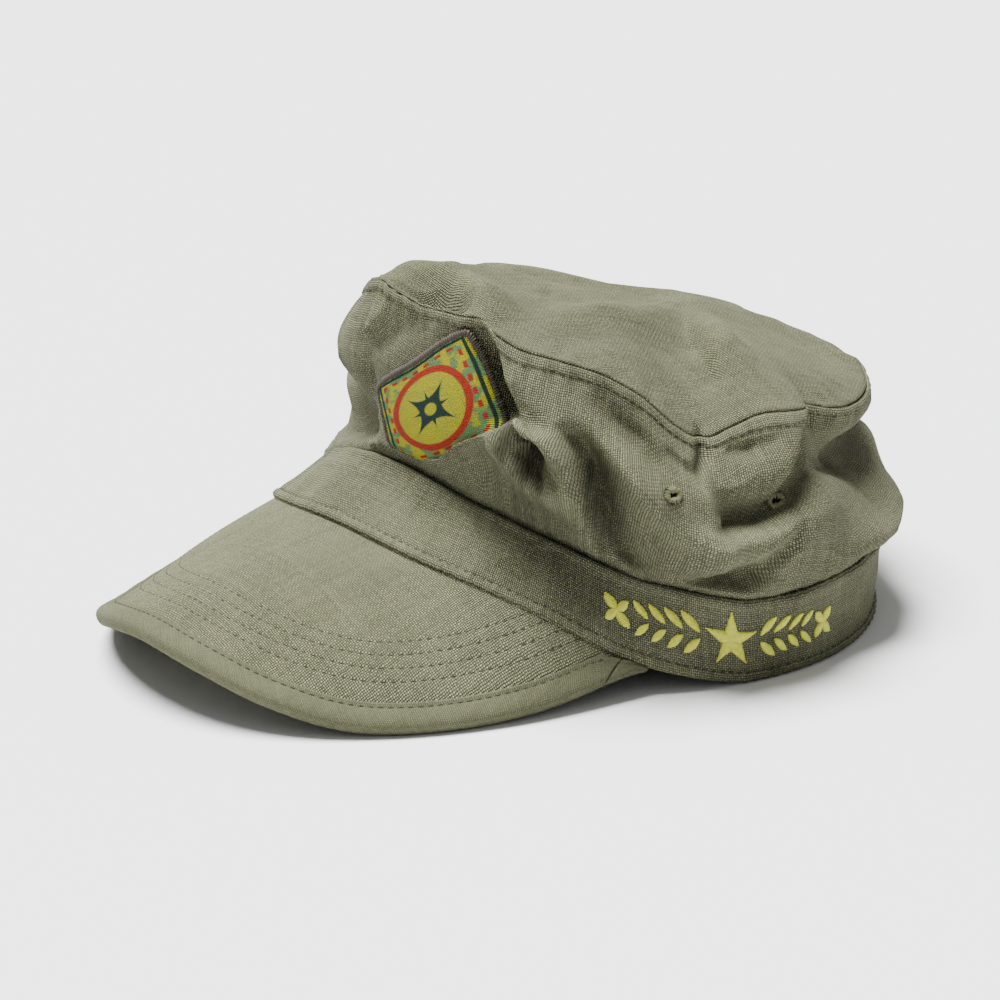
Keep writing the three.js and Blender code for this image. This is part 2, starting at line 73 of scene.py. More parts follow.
# Crown: the oval of its top seam, the rise of the top, and the unit sizes of its folds
CROWN_HALF_WIDTH = 80.0
CROWN_HALF_LENGTH = 81.0
CROWN_SHIFT_LEFT = 2.0
CROWN_SHIFT_BACK = 9.0
SEAM_FRONT_HEIGHT = 110.0
SEAM_BACK_HEIGHT = 61.0
CROWN_BULGE = 9.0
TOP_DOME = 7.0
CLOTH = 1.2
FOLD_DEPTH = 7.5
FOLD_WIDTH = 11.0
FOLD_JOINT = 1.0
WALL_HEIGHT = 55.0

# Tuck of the wall behind the band, distance of the stitch row from the seam, fall of the top per length
# towards the back, and shift of its weave per height, which keeps steep folds from stretching it
WALL_TUCK = 1.5
STITCH_FROM_SEAM = 2.9
TOP_SLOPE = (SEAM_FRONT_HEIGHT - SEAM_BACK_HEIGHT) / (2 * CROWN_HALF_LENGTH)
TOP_WEAVE_LEAN = (0.43, -0.34)

# Part of the front seam that the top's folds leave straight: angle, half span in degrees, depth as a share
STRAIGHT_ANGLE = 2.0
STRAIGHT_SPAN = 25.0
STRAIGHT_DEPTH = 0.13

# Peak
PEAK_HALF_WIDTH = 86.0
PEAK_REACH = 72.0
PEAK_FRONT_HEIGHT = 21.0
PEAK_THICKNESS = 2.0
PEAK_HALF_ANGLE = 60.0
PEAK_CORNER_BACK = 2.0
PEAK_UNDER_BAND = 1.3
PEAK_CAMBER = 2.2
BINDING_WIDTH = 8.5
BINDING_CLOTH = 0.9
PEAK_STITCH_ROWS = (15.5, 20.0, 24.5, 29.0)
PEAK_WIDTH_SHARE = 0.985
BINDING_WIDTH_SHARE = 0.998
BINDING_HALF = PEAK_THICKNESS / 2 + BINDING_CLOTH
BINDING_STITCH = BINDING_WIDTH - 1.7

# Patch: its corners as angle and rise on the crown's wall
PATCH_BOTTOM = (9.5, 0.0)
PATCH_RIGHT = (31.0, 0.5)
PATCH_TOP = (20.5, 0.94)
PATCH_LEFT = (-2.5, 0.42)

# Sag of the patch's lower corner in the same two, its lowest rise, and the share cut off under the lip
PATCH_SAG = (-6.5, -0.09)
PATCH_LOWEST = 0.03
PATCH_TUCK = 0.03

# Lift of the patch off the wall, how far its foot dives into the folds below that rise, and its thicknesses
PATCH_LIFT = 1.2
PATCH_DIVE = 5.0
PATCH_DIVE_RISE = 0.12
PATCH_CLOTH = 0.8
BORDER_HALF = 1.1

# Eyelets. Each row: name, angle and rise on the crown's wall
EYELETS = (
    ("left_front", 63.5, 0.62),
    ("left_back", 86.0, 0.57),
    ("right_front", -63.5, 0.62),
    ("right_back", -86.0, 0.57),
)
EYELET_RADIUS = 2.7
EYELET_HOLE = 1.5
EYELET_TALL = 0.66
EYELET_THREADS = 30

# Embroidery on the band's left side
BADGE_ANGLE = 76.5
BADGE_RISE = 0.52
BADGE_SCALE = 1.22
SATIN_PITCH = 0.5
SATIN_RADIUS = 0.4

# Threads. Each ring: place along half the thread, share of the thread's radius
STITCH_LENGTH = 2.0
STITCH_GAP = 0.9
STITCH_RADIUS = 0.27
THREAD_SIDES = 6
THREAD_RINGS = ((-0.75, 0.75), (0.0, 1.0), (0.75, 0.75))

# Each row: angle from the front, rim height as a share of the front lift, inward lean of the band in degrees
RIM_ROWS = (
    (0, 1, 50),
    (20, 0.89, 53),
    (40, 0.65, 52),
    (60, 0.235, 28),
    (80, 0, 0),
    (100, 0, -3),
    (130, 0, -3),
    (180, 0, -3),
)

# Each row: angle from the front, seam height as a share of the front one, bulge of the wall as a share
SEAM_ROWS = (
    (-140, 0.6, 1),
    (-100, 0.72, 0.9),
    (-60, 0.8, 0.55),
    (-30, 0.9, 0.3),
    (-8, 0.99, 0.2),
    (0, 0.983, 0.2),
    (8, 0.968, 0.2),
    (19, 0.97, 0.3),
    (30, 0.91, 0.4),
    (40, 0.875, 0.6),
    (50, 0.835, 0.7),
    (58, 0.775, 0.8),
    (65, 0.69, 0.85),
    (71, 0.645, 0.9),
    (78, 0.665, 0.9),
    (86, 0.68, 0.9),
    (98, 0.665, 0.6),
    (112, 0.62, 0.4),
    (137, 0.59, 0.4),
    (180, 0.55, 0.8),
)

# Share of the way from the peak's middle to its corner, height of its edge as a share of its front
PEAK_EDGE_ROWS = (
    (0, 1),
    (1 / 6, 0.82),
    (2 / 6, 0.46),
    (3 / 6, 0.14),
    (4 / 6, 0.06),
    (5 / 6, 0.13),
    (1, 0.33),
)

# Wall folds. Each has its width left and right of its line as shares of the fold width, its upward lean as a
# share of its height, and its line: angle and rise on the wall, height as a share of the fold depth.
WALL_FOLDS = (
    # lip over the patch's lower corner, curled round a pocket
    (0.32, 0.9, 0.9, ((-10, 0, 0), (2, 0, 0.3), (9, 0, 0.6), (17, 0.06, 1), (24, 0.23, 1.25),
                      (30, 0.38, 1.3), (35, 0.52, 1.1), (40, 0.58, 0.6))),
    (0.4, 0.28, 0.2, ((36, 0.59, 0.7), (41, 0.59, 1.2), (45.5, 0.51, 1.3), (45.5, 0.41, 1.2),
                      (42, 0.3, 1.2), (37, 0.27, 1.3), (33, 0.34, 1.1), (31, 0.46, 0.3))),
    (0.24, 0.24, 0, ((36.5, 0.52, -0.6), (38.5, 0.45, -1.7), (38, 0.4, -0.8))),
    (0.5, 0.5, 0, ((12, 0.02, -0.1), (20, 0.06, -0.6), (28, 0.18, -0.7), (32, 0.24, -0.2))),
    # valley beside the patch and the ridge right of it
    (0.3, 0.5, 0, ((25, 0.93, -0.4), (28, 0.82, -1.1), (32, 0.62, -1))),
    (0.9, 0.3, 0, ((28, 0.98, 0.3), (32, 0.84, 0.9), (37, 0.68, 0.6))),
    # dent under the seam and the light band below it
    (0.3, 0.4, 0, ((50, 0.84, -0.2), (54, 0.81, -0.6), (57, 0.79, -0.7), (60, 0.75, -0.4))),
    (0.7, 0.3, 0.3, ((38, 0.8, 0.3), (46, 0.71, 0.7), (54, 0.59, 1.1), (58, 0.5, 0.8))),
    # sharp edge that falls off into a hollow
    (0.14, 0.8, 0, ((42, 0.68, 0.6), (45, 0.5, 1.2), (48, 0.32, 1.3), (51, 0.1, 0.9))),
    (0.45, 0.25, 0, ((46.5, 0.6, -0.9), (49.5, 0.47, -1.9), (52.5, 0.3, -1.4), (57, 0.12, -0.8))),
    # bulge that carries the front eyelet
    (1, 0.45, 0, ((57, 0.7, 0.4), (59, 0.56, 0.9), (64, 0.4, 0.9), (68, 0.24, 0.5))),
    (0.25, 0.6, 0, ((67, 0.8, 0.3), (70, 0.66, 0.6), (72, 0.5, 0.9), (73, 0.34, 0.7), (72, 0.2, 0.3))),
    (0.14, 0.18, 0, ((71, 1, -0.4), (71, 0.88, -0.8), (69, 0.76, -0.3))),
    # deep shelf at the rear eyelet, running on as a crease
    (0.6, 0.3, 0.3, ((71, 0.53, -0.4), (75, 0.51, -1), (81, 0.52, -1.1), (86, 0.56, -0.7),
                     (97, 0.66, -0.7), (110, 0.63, -0.6), (118, 0.56, -0.3))),
    (0.3, 1.1, 0, ((75, 0.42, 0.6), (84, 0.44, 0.8), (95, 0.48, 0.4), (106, 0.42, -0.1), (120, 0.4, -0.1))),
    (0.16, 0.9, 0, ((97, 0.98, 0.4), (91, 0.87, 0.8), (87, 0.75, 0.75), (84, 0.64, 0.3))),
    (0.7, 0.7, 0, ((105, 1.05, -0.5), (103, 0.9, -0.9), (97, 0.79, -0.8), (92, 0.71, -0.3))),
    (0.8, 1.1, 0, ((102, 0.8, -0.3), (110, 0.7, -1.1), (120, 0.64, -2.1), (144, 0.6, -2.3),
                   (158, 0.66, -0.9))),
    (0.6, 0.6, 0, ((104, 0.16, 0.2), (116, 0.15, 0.8), (134, 0.15, 0.8), (150, 0.2, 0.3))),
    (0.22, 0.35, 0, ((88, 0.44, -0.3), (84, 0.28, -0.7), (79, 0.1, -0.5))),
    (0.3, 0.35, 0, ((70, 0.08, -0.6), (75, 0.15, -1.2), (79, 0.19, -0.7))),
    # small creases below the sagging seam
    (0.2, 0.2, 0, ((77, 0.88, -0.3), (81, 0.86, -0.5), (86, 0.88, -0.2))),
    (0.2, 0.25, 0, ((64, 0.82, -0.3), (67, 0.8, -0.4), (69, 0.82, -0.1))),
    # front, left of the patch
    (0.6, 0.6, 0, ((-20, 0.85, -0.2), (-16, 0.65, -0.7), (-12, 0.42, -0.7), (-7, 0.22, -0.3))),
    (1.3, 1.5, 0, ((-84, 0.22, -0.2), (-68, 0.2, -0.9), (-50, 0.18, -1.5), (-36, 0.17, -2.2),
                   (-22, 0.16, -1.4))),
    (0.25, 0.5, 0, ((-2, 0.9, 0.1), (-7, 0.78, 0.25), (-13, 0.64, 0.15))),
    (0.3, 0.4, 0, ((6, 0.88, -0.1), (1, 0.77, -0.3), (-5, 0.66, -0.2))),
    (1, 1.2, 0, ((-62, 1.05, -0.4), (-46, 1.06, -1), (-30, 1.06, -1.1), (-14, 1.04, -0.6),
                 (-4, 1.02, -0.1))),
    (0.4, 0.5, 0, ((-30, 0.28, -0.3), (-22, 0.16, -0.7), (-12, 0.1, -0.4))),
    # wearer's right and back
    (0.5, 1, 0.2, ((-42, 0.35, -0.3), (-54, 0.5, -0.8), (-66, 0.55, -0.3))),
    (0.3, 0.9, 0, ((-66, 0.95, 0.3), (-72, 0.7, 0.7), (-80, 0.4, 0.6), (-84, 0.15, 0.2))),
    (0.8, 0.4, 0, ((-84, 0.9, -0.3), (-88, 0.65, -0.7), (-95, 0.4, -0.5))),
    (0.9, 0.9, 0, ((-96, 0.5, 0.5), (-112, 0.45, 0.7), (-126, 0.5, 0.3))),
    (0.4, 0.7, 0.2, ((-100, 0.75, -0.3), (-118, 0.68, -0.8), (-136, 0.74, -0.4))),
    (0.5, 0.9, 0, ((-136, 0.9, 0.3), (-146, 0.6, 0.7), (-150, 0.25, 0.3))),
    (0.5, 0.5, 0, ((-158, 0.7, -0.3), (-168, 0.5, -0.7), (-178, 0.45, -0.3))),
    (0.9, 0.9, 0, ((158, 0.4, 0.6), (146, 0.5, 0.5), (134, 0.4, 0.5))),
    (0.4, 0.6, 0, ((176, 0.8, -0.2), (164, 0.7, -0.7), (150, 0.68, -0.4))),
)

# Top folds: width left and right of the line as shares of the fold width, and the line: place from the
# crown's middle as shares of its half width and half length, height as a share of the fold depth.
TOP_FOLDS = (
    # crest and the crease that falls from it to the seam
    (0.25, 0.9, ((0.26, 0.14, -0.2), (0.52, -0.02, -0.8), (0.76, -0.13, -0.5))),
    (1.3, 0.9, ((0.15, 0.33, 0.35), (0.25, 0.02, 0.45), (0.42, -0.4, 0.45), (0.5, -0.62, 0.3))),
    (1, 1.3, ((0.1, 0.45, 0.2), (0.14, 0.6, 0.6), (0.22, 0.8, 0.7), (0.42, 0.86, 0.5))),
    (1.6, 1.6, ((-0.05, -0.34, -0.3), (0.05, -0.16, -0.45), (0.06, 0.02, -0.2))),
    (0.8, 0.8, ((0.36, 0.06, -0.2), (0.56, -0.22, -0.35), (0.68, -0.4, -0.2))),
    (0.7, 0.7, ((0.22, 0.5, -0.1), (0.28, 0.7, -0.35), (0.5, 0.75, -0.2))),
    # front bump and the ridge beside the dented front edge
    (0.75, 0.75, ((-0.42, -0.72, 0.3), (-0.26, -0.74, 0.6), (-0.12, -0.71, 0.55))),
    (1.4, 1.4, ((-0.1, -0.36, -0.3), (0.02, -0.24, -0.45), (0.06, -0.08, -0.2))),
    (1.6, 1.6, ((0, 0.14, 0.1), (0, 0.4, 0.2), (0.06, 0.6, 0.1))),
    (0.9, 0.45, ((-0.22, -0.55, 0.1), (-0.03, -0.66, 0.35), (0.11, -0.73, 0.6), (0.22, -0.8, 0.9),
                 (0.33, -0.88, 0.8), (0.44, -0.9, 0.3))),
    (0.5, 0.75, ((-0.06, -0.8, -0.7), (0.04, -0.85, -2.1), (0.15, -0.88, -2.4), (0.26, -0.93, -1.2))),
    (0.6, 0.6, ((0.6, -0.66, -0.25), (0.5, -0.4, -0.3), (0.44, -0.2, -0.1))),
    # wearer's right and back
    (1.2, 1.2, ((-0.6, -0.2, -0.3), (-0.4, 0.1, -0.6), (-0.25, 0.5, -0.3))),
    (0.5, 1.1, ((-0.75, 0.1, 0.1), (-0.5, 0.4, 0.2), (-0.3, 0.58, 0.65), (-0.1, 0.72, 0.6))),
    (0.4, 0.9, ((-0.85, -0.35, 0.2), (-0.6, -0.3, 0.4), (-0.3, -0.15, 0.1))),
)

# Sharp ridges of the top, in the same columns, and the powers of both profiles: a low one is sharp
TOP_RIDGES = (
    (1.2, 0.6, ((0.24, 0.28, 0), (0.42, 0.17, 0.6), (0.7, 0.02, 0.95), (0.93, -0.07, 0.4))),
)
SOFT_POWER = 2
SHARP_POWER = 1.3


# Curves and small vector tools
def through(rows, column, place):
    """Smooth curve through table rows: column 0 holds the place, the named column the value."""
    xs = np.array([row[0] for row in rows], float)
    ys = np.array([row[column] for row in rows], float)
    slopes = np.zeros(len(xs))
    slopes[1:-1] = (ys[2:] - ys[:-2]) / (xs[2:] - xs[:-2])
    x = np.clip(place, xs[0], xs[-1])
    i = np.clip(np.searchsorted(xs, x, side="right") - 1, 0, len(xs) - 2)
    span = xs[i + 1] - xs[i]
    t = (x - xs[i]) / span
    level = ys[i] * (1 + 2 * t) * (1 - t) ** 2 + ys[i + 1] * t * t * (3 - 2 * t)
    return level + slopes[i] * span * t * (1 - t) ** 2 + slopes[i + 1] * span * t * t * (t - 1)


def around(rows, column, angle):
    """The same round the whole cap, where the last row leads on to the first."""
    before = (rows[-1][0] - 360,) + tuple(rows[-1][1:])
    after = (rows[0][0] + 360,) + tuple(rows[0][1:])
    return through((before,) + tuple(rows) + (after,), column, angle)


def smoothstep(x, low, high):
    t = np.clip((x - low) / (high - low), 0, 1)
    return t * t * (3 - 2 * t)


def turn_from(start, angle):
    """Turn from one angle to another, from -180 to 180."""
    return (angle - start + 180) % 360 - 180


def travel(line):
    """Distance along a line of points up to each of them."""
    return np.concatenate([[0], np.cumsum(np.linalg.norm(np.diff(line, axis=0), axis=1))])


def spread(count):
    """Places from -1 to 1, closer together at both ends."""
    return np.sin(np.linspace(-np.pi / 2, np.pi / 2, count))


def paired(a, b):
    return np.broadcast_arrays(np.asarray(a, float), np.asarray(b, float))


def unit(v):
    return v / np.maximum(np.linalg.norm(v, axis=-1, keepdims=True), 1e-9)


def vec(x, y, z):
    return np.stack(np.broadcast_arrays(np.asarray(x, float), y, z), axis=-1)


def fold_height(x, y, line, left, right, power=SOFT_POWER):
    """Height of a fold at points of a flat pattern. Its line is a row of (x, y, height), and its width
    differs between the left and the right side of that line. A low power gives it a sharp top."""
    offsets = []
    for (from_x, from_y, from_height), (to_x, to_y, to_height) in zip(line, line[1:]):
        dx = to_x - from_x
        dy = to_y - from_y
        along = np.clip(((x - from_x) * dx + (y - from_y) * dy) / (dx * dx + dy * dy), 0, 1)
        off_x = x - from_x - along * dx
        off_y = y - from_y - along * dy
        distance = np.hypot(off_x, off_y)
        side = (dx * off_y - dy * off_x) / (math.hypot(dx, dy) * np.maximum(distance, 1e-6))
        offsets.append((distance, from_height + (to_height - from_height) * along, side))
    nearest = np.min([distance for distance, _, _ in offsets], axis=0)
    weights = [np.exp(-(distance - nearest) / FOLD_JOINT) for distance, _, _ in offsets]
    total = sum(weights)
    height = sum(w * level for w, (_, level, _) in zip(weights, offsets)) / total
    side = sum(w * turn for w, (_, _, turn) in zip(weights, offsets)) / total
    width = right + (left - right) * (1 + side) / 2
    return height * np.exp(-((nearest / width) ** power))


# Surfaces
UP = np.array([0.0, 0.0, 1.0])
PER_DEGREE = math.radians(1) * CROWN_HALF_WIDTH
BAND_PER_DEGREE = math.radians(1) * RIM_HALF_WIDTH


def rim_length(a):
    """Half length of the rim on the side, front or back, of an angle in radians."""
    return np.where(np.cos(a) > 0, RIM_HALF_LENGTH, RIM_BACK_LENGTH)


def outward(angle):
    a = np.radians(angle)
    return unit(vec(np.sin(a) / RIM_HALF_WIDTH, -np.cos(a) / rim_length(a), 0))


def rim_point(angle):
    a = np.radians(angle)
    height = np.maximum(0, FRONT_LIFT * through(RIM_ROWS, 1, np.abs(angle)))
    return vec(RIM_HALF_WIDTH * np.sin(a), -rim_length(a) * np.cos(a), height)


def band_frame(angle):
    """Directions of the band at an angle: up along its cloth, and square to its face."""
    lean = np.radians(through(RIM_ROWS, 2, np.abs(angle)))[..., None]
    out = outward(angle)
    return UP * np.cos(lean) - out * np.sin(lean), out * np.cos(lean) + UP * np.sin(lean)


def seam_point(angle):
    a = np.radians(angle)
    x = CROWN_SHIFT_LEFT + CROWN_HALF_WIDTH * np.sin(a)
    y = CROWN_SHIFT_BACK - CROWN_HALF_LENGTH * np.cos(a)
    return vec(x, y, SEAM_FRONT_HEIGHT * around(SEAM_ROWS, 1, angle))


def seam_plane(y):
    """Height of the tilted plane that the top seam keeps close to."""
    return (SEAM_FRONT_HEIGHT + SEAM_BACK_HEIGHT) / 2 - TOP_SLOPE * (y - CROWN_SHIFT_BACK)


def wall_folds(angle, rise, folds):
    """Outward height and upward lean of the wall's folds at an angle and a rise."""
    angle, rise = paired(angle, rise)
    out = np.zeros(angle.shape)
    lean = np.zeros(angle.shape)
    for left, right, upward, line in folds:
        start = line[0][0]
        turn = turn_from(start, angle)
        flat = [((a - start) * PER_DEGREE, r * WALL_HEIGHT, h * FOLD_DEPTH) for a, r, h in line]
        widths = (left * FOLD_WIDTH, right * FOLD_WIDTH)
        shape = fold_height(turn * PER_DEGREE, rise * WALL_HEIGHT, flat, *widths)
        out = out + shape
        lean = lean + upward * shape
    return out, lean


def top_folds(x, y):
    """Height of the top's folds at a place seen from above."""
    x = x - CROWN_SHIFT_LEFT
    y = y - CROWN_SHIFT_BACK
    height = np.zeros(np.shape(x))
    for folds, power in ((TOP_FOLDS, SOFT_POWER), (TOP_RIDGES, SHARP_POWER)):
        for left, right, line in folds:
            flat = [(a * CROWN_HALF_WIDTH, b * CROWN_HALF_LENGTH, h * FOLD_DEPTH) for a, b, h in line]
            widths = (left * FOLD_WIDTH, right * FOLD_WIDTH)
            height = height + fold_height(x, y, flat, *widths, power=power)
    return height


def crown_point(angle, rise, folded=WALL_FOLDS):
    """Outer face of the crown: rise 0 to 1 is the wall, 1 to 2 runs from the seam to the top's middle."""
    angle, rise = paired(angle, rise)
    on_wall = np.clip(rise, 0, 1)[..., None]
    on_top = np.clip(rise - 1, 0, 1)[..., None]
    out = outward(angle)
    seam = seam_point(angle)
    band_top = rim_point(angle) + band_frame(angle)[0] * BAND_HEIGHT
    wall = band_top + (seam - band_top) * on_wall
    bulge = CROWN_BULGE * around(SEAM_ROWS, 2, angle)[..., None]
    wall = wall + out * bulge * np.sin(np.pi * on_wall) ** 0.8
    middle = np.array([CROWN_SHIFT_LEFT, CROWN_SHIFT_BACK, 0.0])
    top = seam + (middle - seam) * on_top
    inward = on_top[..., 0]
    from_edge = (1 - inward) ** 3
    off_plane = seam[..., 2] - seam_plane(seam[..., 1])
    top[..., 2] = seam_plane(top[..., 1]) + off_plane * from_edge + TOP_DOME * (1 - from_edge)
    point = np.where(on_top > 0, top, wall)
    folds, lean = wall_folds(angle, rise, folded)
    clear_of_band = smoothstep(on_wall[..., 0], 0, 0.1)
    fade_on_top = 1 - smoothstep(inward, 0, 0.3)
    fade_on_wall = smoothstep(on_wall[..., 0], 0.7, 1)
    point = point + out * (folds * clear_of_band * fade_on_top)[..., None]
    point[..., 2] += lean * clear_of_band * fade_on_top
    near_front = np.exp(-(((angle - STRAIGHT_ANGLE) / STRAIGHT_SPAN) ** 4))
    held = near_front * (1 - smoothstep(inward, 0, STRAIGHT_DEPTH))
    point[..., 2] += top_folds(point[..., 0], point[..., 1]) * fade_on_wall * (1 - held)
    return point


def peak_inner_edge(across):
    angle = across * PEAK_HALF_ANGLE
    up, face = band_frame(angle)
    return rim_point(angle) + up * 0.6 - face * (PEAK_THICKNESS / 2 + PEAK_UNDER_BAND)


def peak_outer_edge(across):
    turn = np.abs(across) * (np.pi / 2)
    corner_y = rim_point(np.array(PEAK_HALF_ANGLE))[1] + PEAK_CORNER_BACK
    front_y = -RIM_HALF_LENGTH - PEAK_REACH
    x = PEAK_HALF_WIDTH * np.sin(turn) * np.sign(across)
    y = corner_y + (front_y - corner_y) * np.maximum(0, np.cos(turn)) ** 0.85
    return vec(x, y, PEAK_FRONT_HEIGHT * through(PEAK_EDGE_ROWS, 1, np.abs(across)))


def peak_point(across, out):
    out = np.asarray(out, float)
    inner = peak_inner_edge(across)
    point = inner + (peak_outer_edge(across) - inner) * out[..., None]
    point[..., 2] += PEAK_CAMBER * np.sin(np.pi * np.clip(out, 0, 1)) * (1 - np.abs(across) ** 4)
    return point


def grid_normals(grid, closed):
    """Unit normals of a grid of points, rows going up and columns going round."""
    if closed:
        across = np.roll(grid, -1, axis=1) - np.roll(grid, 1, axis=1)
    else:
        across = np.gradient(grid, axis=1)
    return unit(np.cross(across, np.gradient(grid, axis=0)))


# Place of the cap in the frame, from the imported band's box
def frame_shift():
    angle = np.linspace(-180, 180, 721)
    rim = rim_point(angle)
    points = np.concatenate([rim, rim + band_frame(angle)[0] * BAND_HEIGHT])
    low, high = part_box("band")
    x = (low[0] + high[0]) / 2 / MM - (points[:, 0].min() + points[:, 0].max()) / 2
    y = high[1] / MM - points[:, 1].max()
    return np.array([x, y, 0.0])


SHIFT = frame_shift()


# Mesh building
def mesh_object(name, points, faces, uv, material):
    """One piece from points in millimetres. The uv, in millimetres too, is the flat cloth's own place."""
    mesh = bpy.data.meshes.new(name)
    mesh.from_pydata(((np.asarray(points) + SHIFT) * MM).tolist(), [], [tuple(face) for face in faces])
    if uv is not None:
        layer = mesh.uv_layers.new(name="cloth")
        loop_points = np.empty(len(mesh.loops), int)
        mesh.loops.foreach_get("vertex_index", loop_points)
        layer.data.foreach_set("uv", (np.asarray(uv)[loop_points] * MM).ravel())
    mesh.polygons.foreach_set("use_smooth", [True] * len(mesh.polygons))
    mesh.materials.append(material)
    mesh.update()
    thing = bpy.data.objects.new(name, mesh)
    bpy.context.scene.collection.objects.link(thing)
    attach(thing, "root")
    return thing


def grid_faces(rows, columns, closed, base=0, flip=False):
    steps = columns if closed else columns - 1
    i, j = np.meshgrid(np.arange(rows - 1), np.arange(steps), indexing="ij")
    low = base + i * columns
    here = low + j
    beside = low + (j + 1) % columns
    ring = (here, beside, beside + columns, here + columns)
    if flip:
        ring = ring[::-1]
    return np.stack(ring, axis=-1).reshape(-1, 4).tolist()


def shell(name, outer, inner, closed, material, uv):
    """Closed cloth wall from an outer and an inner grid of points."""
    rows, columns = outer.shape[:2]
    count = rows * columns
    faces = grid_faces(rows, columns, closed)
    faces += grid_faces(rows, columns, closed, count, flip=True)
    last = (rows - 1) * columns
    for j in range(columns if closed else columns - 1):
        k = (j + 1) % columns
        faces.append((j, count + j, count + k, k))
        faces.append((last + j, last + k, count + last + k, count + last + j))
    if not closed:
        for a in range(0, last, columns):
            b = a + columns
            faces.append((a, b, count + b, count + a))
            right = columns - 1
            faces.append((a + right, count + a + right, count + b + right, b + right))
    points = np.concatenate([outer.reshape(-1, 3), inner.reshape(-1, 3)])
    return mesh_object(name, points, faces, np.concatenate([uv.reshape(-1, 2)] * 2), material)


def dome(name, outer, inner, material, uv, inner_uv):
    """Closed cloth disc from rings of points that run from its edge to its middle."""
    rows, columns = outer.shape[:2]
    count = rows * columns
    faces = grid_faces(rows, columns, True)
    faces += grid_faces(rows, columns, True, count, flip=True)
    last = (rows - 1) * columns
    for j in range(columns):
        k = (j + 1) % columns
        faces.append((j, count + j, count + k, k))
        faces.append((last + j, last + k, 2 * count))
        faces.append((count + last + k, count + last + j, 2 * count + 1))
    middles = np.stack([outer[-1].mean(axis=0), inner[-1].mean(axis=0)])
    points = np.concatenate([outer.reshape(-1, 3), inner.reshape(-1, 3), middles])
    middle_uv = uv[-1].mean(axis=0)[None]
    flat_uv = np.concatenate([uv.reshape(-1, 2), inner_uv.reshape(-1, 2), middle_uv, middle_uv])
    return mesh_object(name, points, faces, flat_uv, material)


# Threads
def thread_bits(name, middles, along, face, half_length, radius, material, bend=0.0):
    """Short rounded threads, one at each middle point, in one piece. Their ends bend into the cloth."""
    count = len(middles)
    half = np.broadcast_to(np.asarray(half_length, float), (count,))[:, None]
    cross = unit(np.cross(along, face))
    parts = [middles - along * half - face * bend]
    for place, fat in THREAD_RINGS:
        centre = middles + along * half * place - face * (bend * abs(place) ** 3)
        for turn in np.linspace(0, 2 * np.pi, THREAD_SIDES, endpoint=False):
            parts.append(centre + radius * fat * (math.cos(turn) * cross + math.sin(turn) * face))
    parts.append(middles + along * half - face * bend)
    points = np.stack(parts, axis=1)
    one = []
    end = 1 + THREAD_SIDES * len(THREAD_RINGS)
    for j in range(THREAD_SIDES):
        k = (j + 1) % THREAD_SIDES
        one.append((0, 1 + k, 1 + j))
        one.append((end, end - THREAD_SIDES + j, end - THREAD_SIDES + k))
        for ring in range(len(THREAD_RINGS) - 1):
            a = 1 + ring * THREAD_SIDES
            one.append((a + j, a + k, a + THREAD_SIDES + k, a + THREAD_SIDES + j))
    size = points.shape[1]
    faces = [[base * size + corner for corner in face_row] for base in range(count) for face_row in one]
    return mesh_object(name, points.reshape(-1, 3), faces, None, material)


def along_line(surface, place, pitch):
    """Points spaced evenly along a line on a surface, with its direction there and the surface's normal."""
    t = np.linspace(0, 1, 3001)
    line = surface(*place(t))
    travelled = travel(line)
    count = max(2, int(travelled[-1] / pitch))
    middle = (np.arange(count) + 0.5) * travelled[-1] / count
    here = place(np.interp(middle, travelled, t))
    ahead = surface(*place(np.interp(middle + pitch / 3, travelled, t)))
    behind = surface(*place(np.interp(middle - pitch / 3, travelled, t)))
    return surface(*here), unit(ahead - behind), surface_normal(surface, *here)


def surface_normal(surface, a, b, step_a=0.25, step_b=0.005):
    sideways = surface(a + step_a, b) - surface(a - step_a, b)
    upward = surface(a, b + step_b) - surface(a, b - step_b)
    return unit(np.cross(sideways, upward))


def stitch_row(name, surface, place, node):
    middles, along, face = along_line(surface, place, STITCH_LENGTH + STITCH_GAP)
    rng = np.random.default_rng(len(middles))
    half = STITCH_LENGTH / 2 * rng.uniform(0.9, 1.08, len(middles))
    middles = middles + face * 0.12
    thing = thread_bits(name, middles, along, face, half, STITCH_RADIUS, stitch_thread, bend=0.3)
    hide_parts(node)


# Small relief of the cloth, on top of the main folds
def waves(u, v, seed, count, shortest, longest, height):
    """Gentle unevenness: a few seeded waves in several directions."""
    rng = np.random.default_rng(seed)
    total = np.zeros(np.shape(u))
    for _ in range(count):
        length = rng.uniform(shortest, longest)
        heading = rng.uniform(0, np.pi)
        phase = rng.uniform(0, 2 * np.pi)
        total = total + np.sin(2 * np.pi * (u * np.cos(heading) + v * np.sin(heading)) / length + phase)
    return total * height / math.sqrt(count)


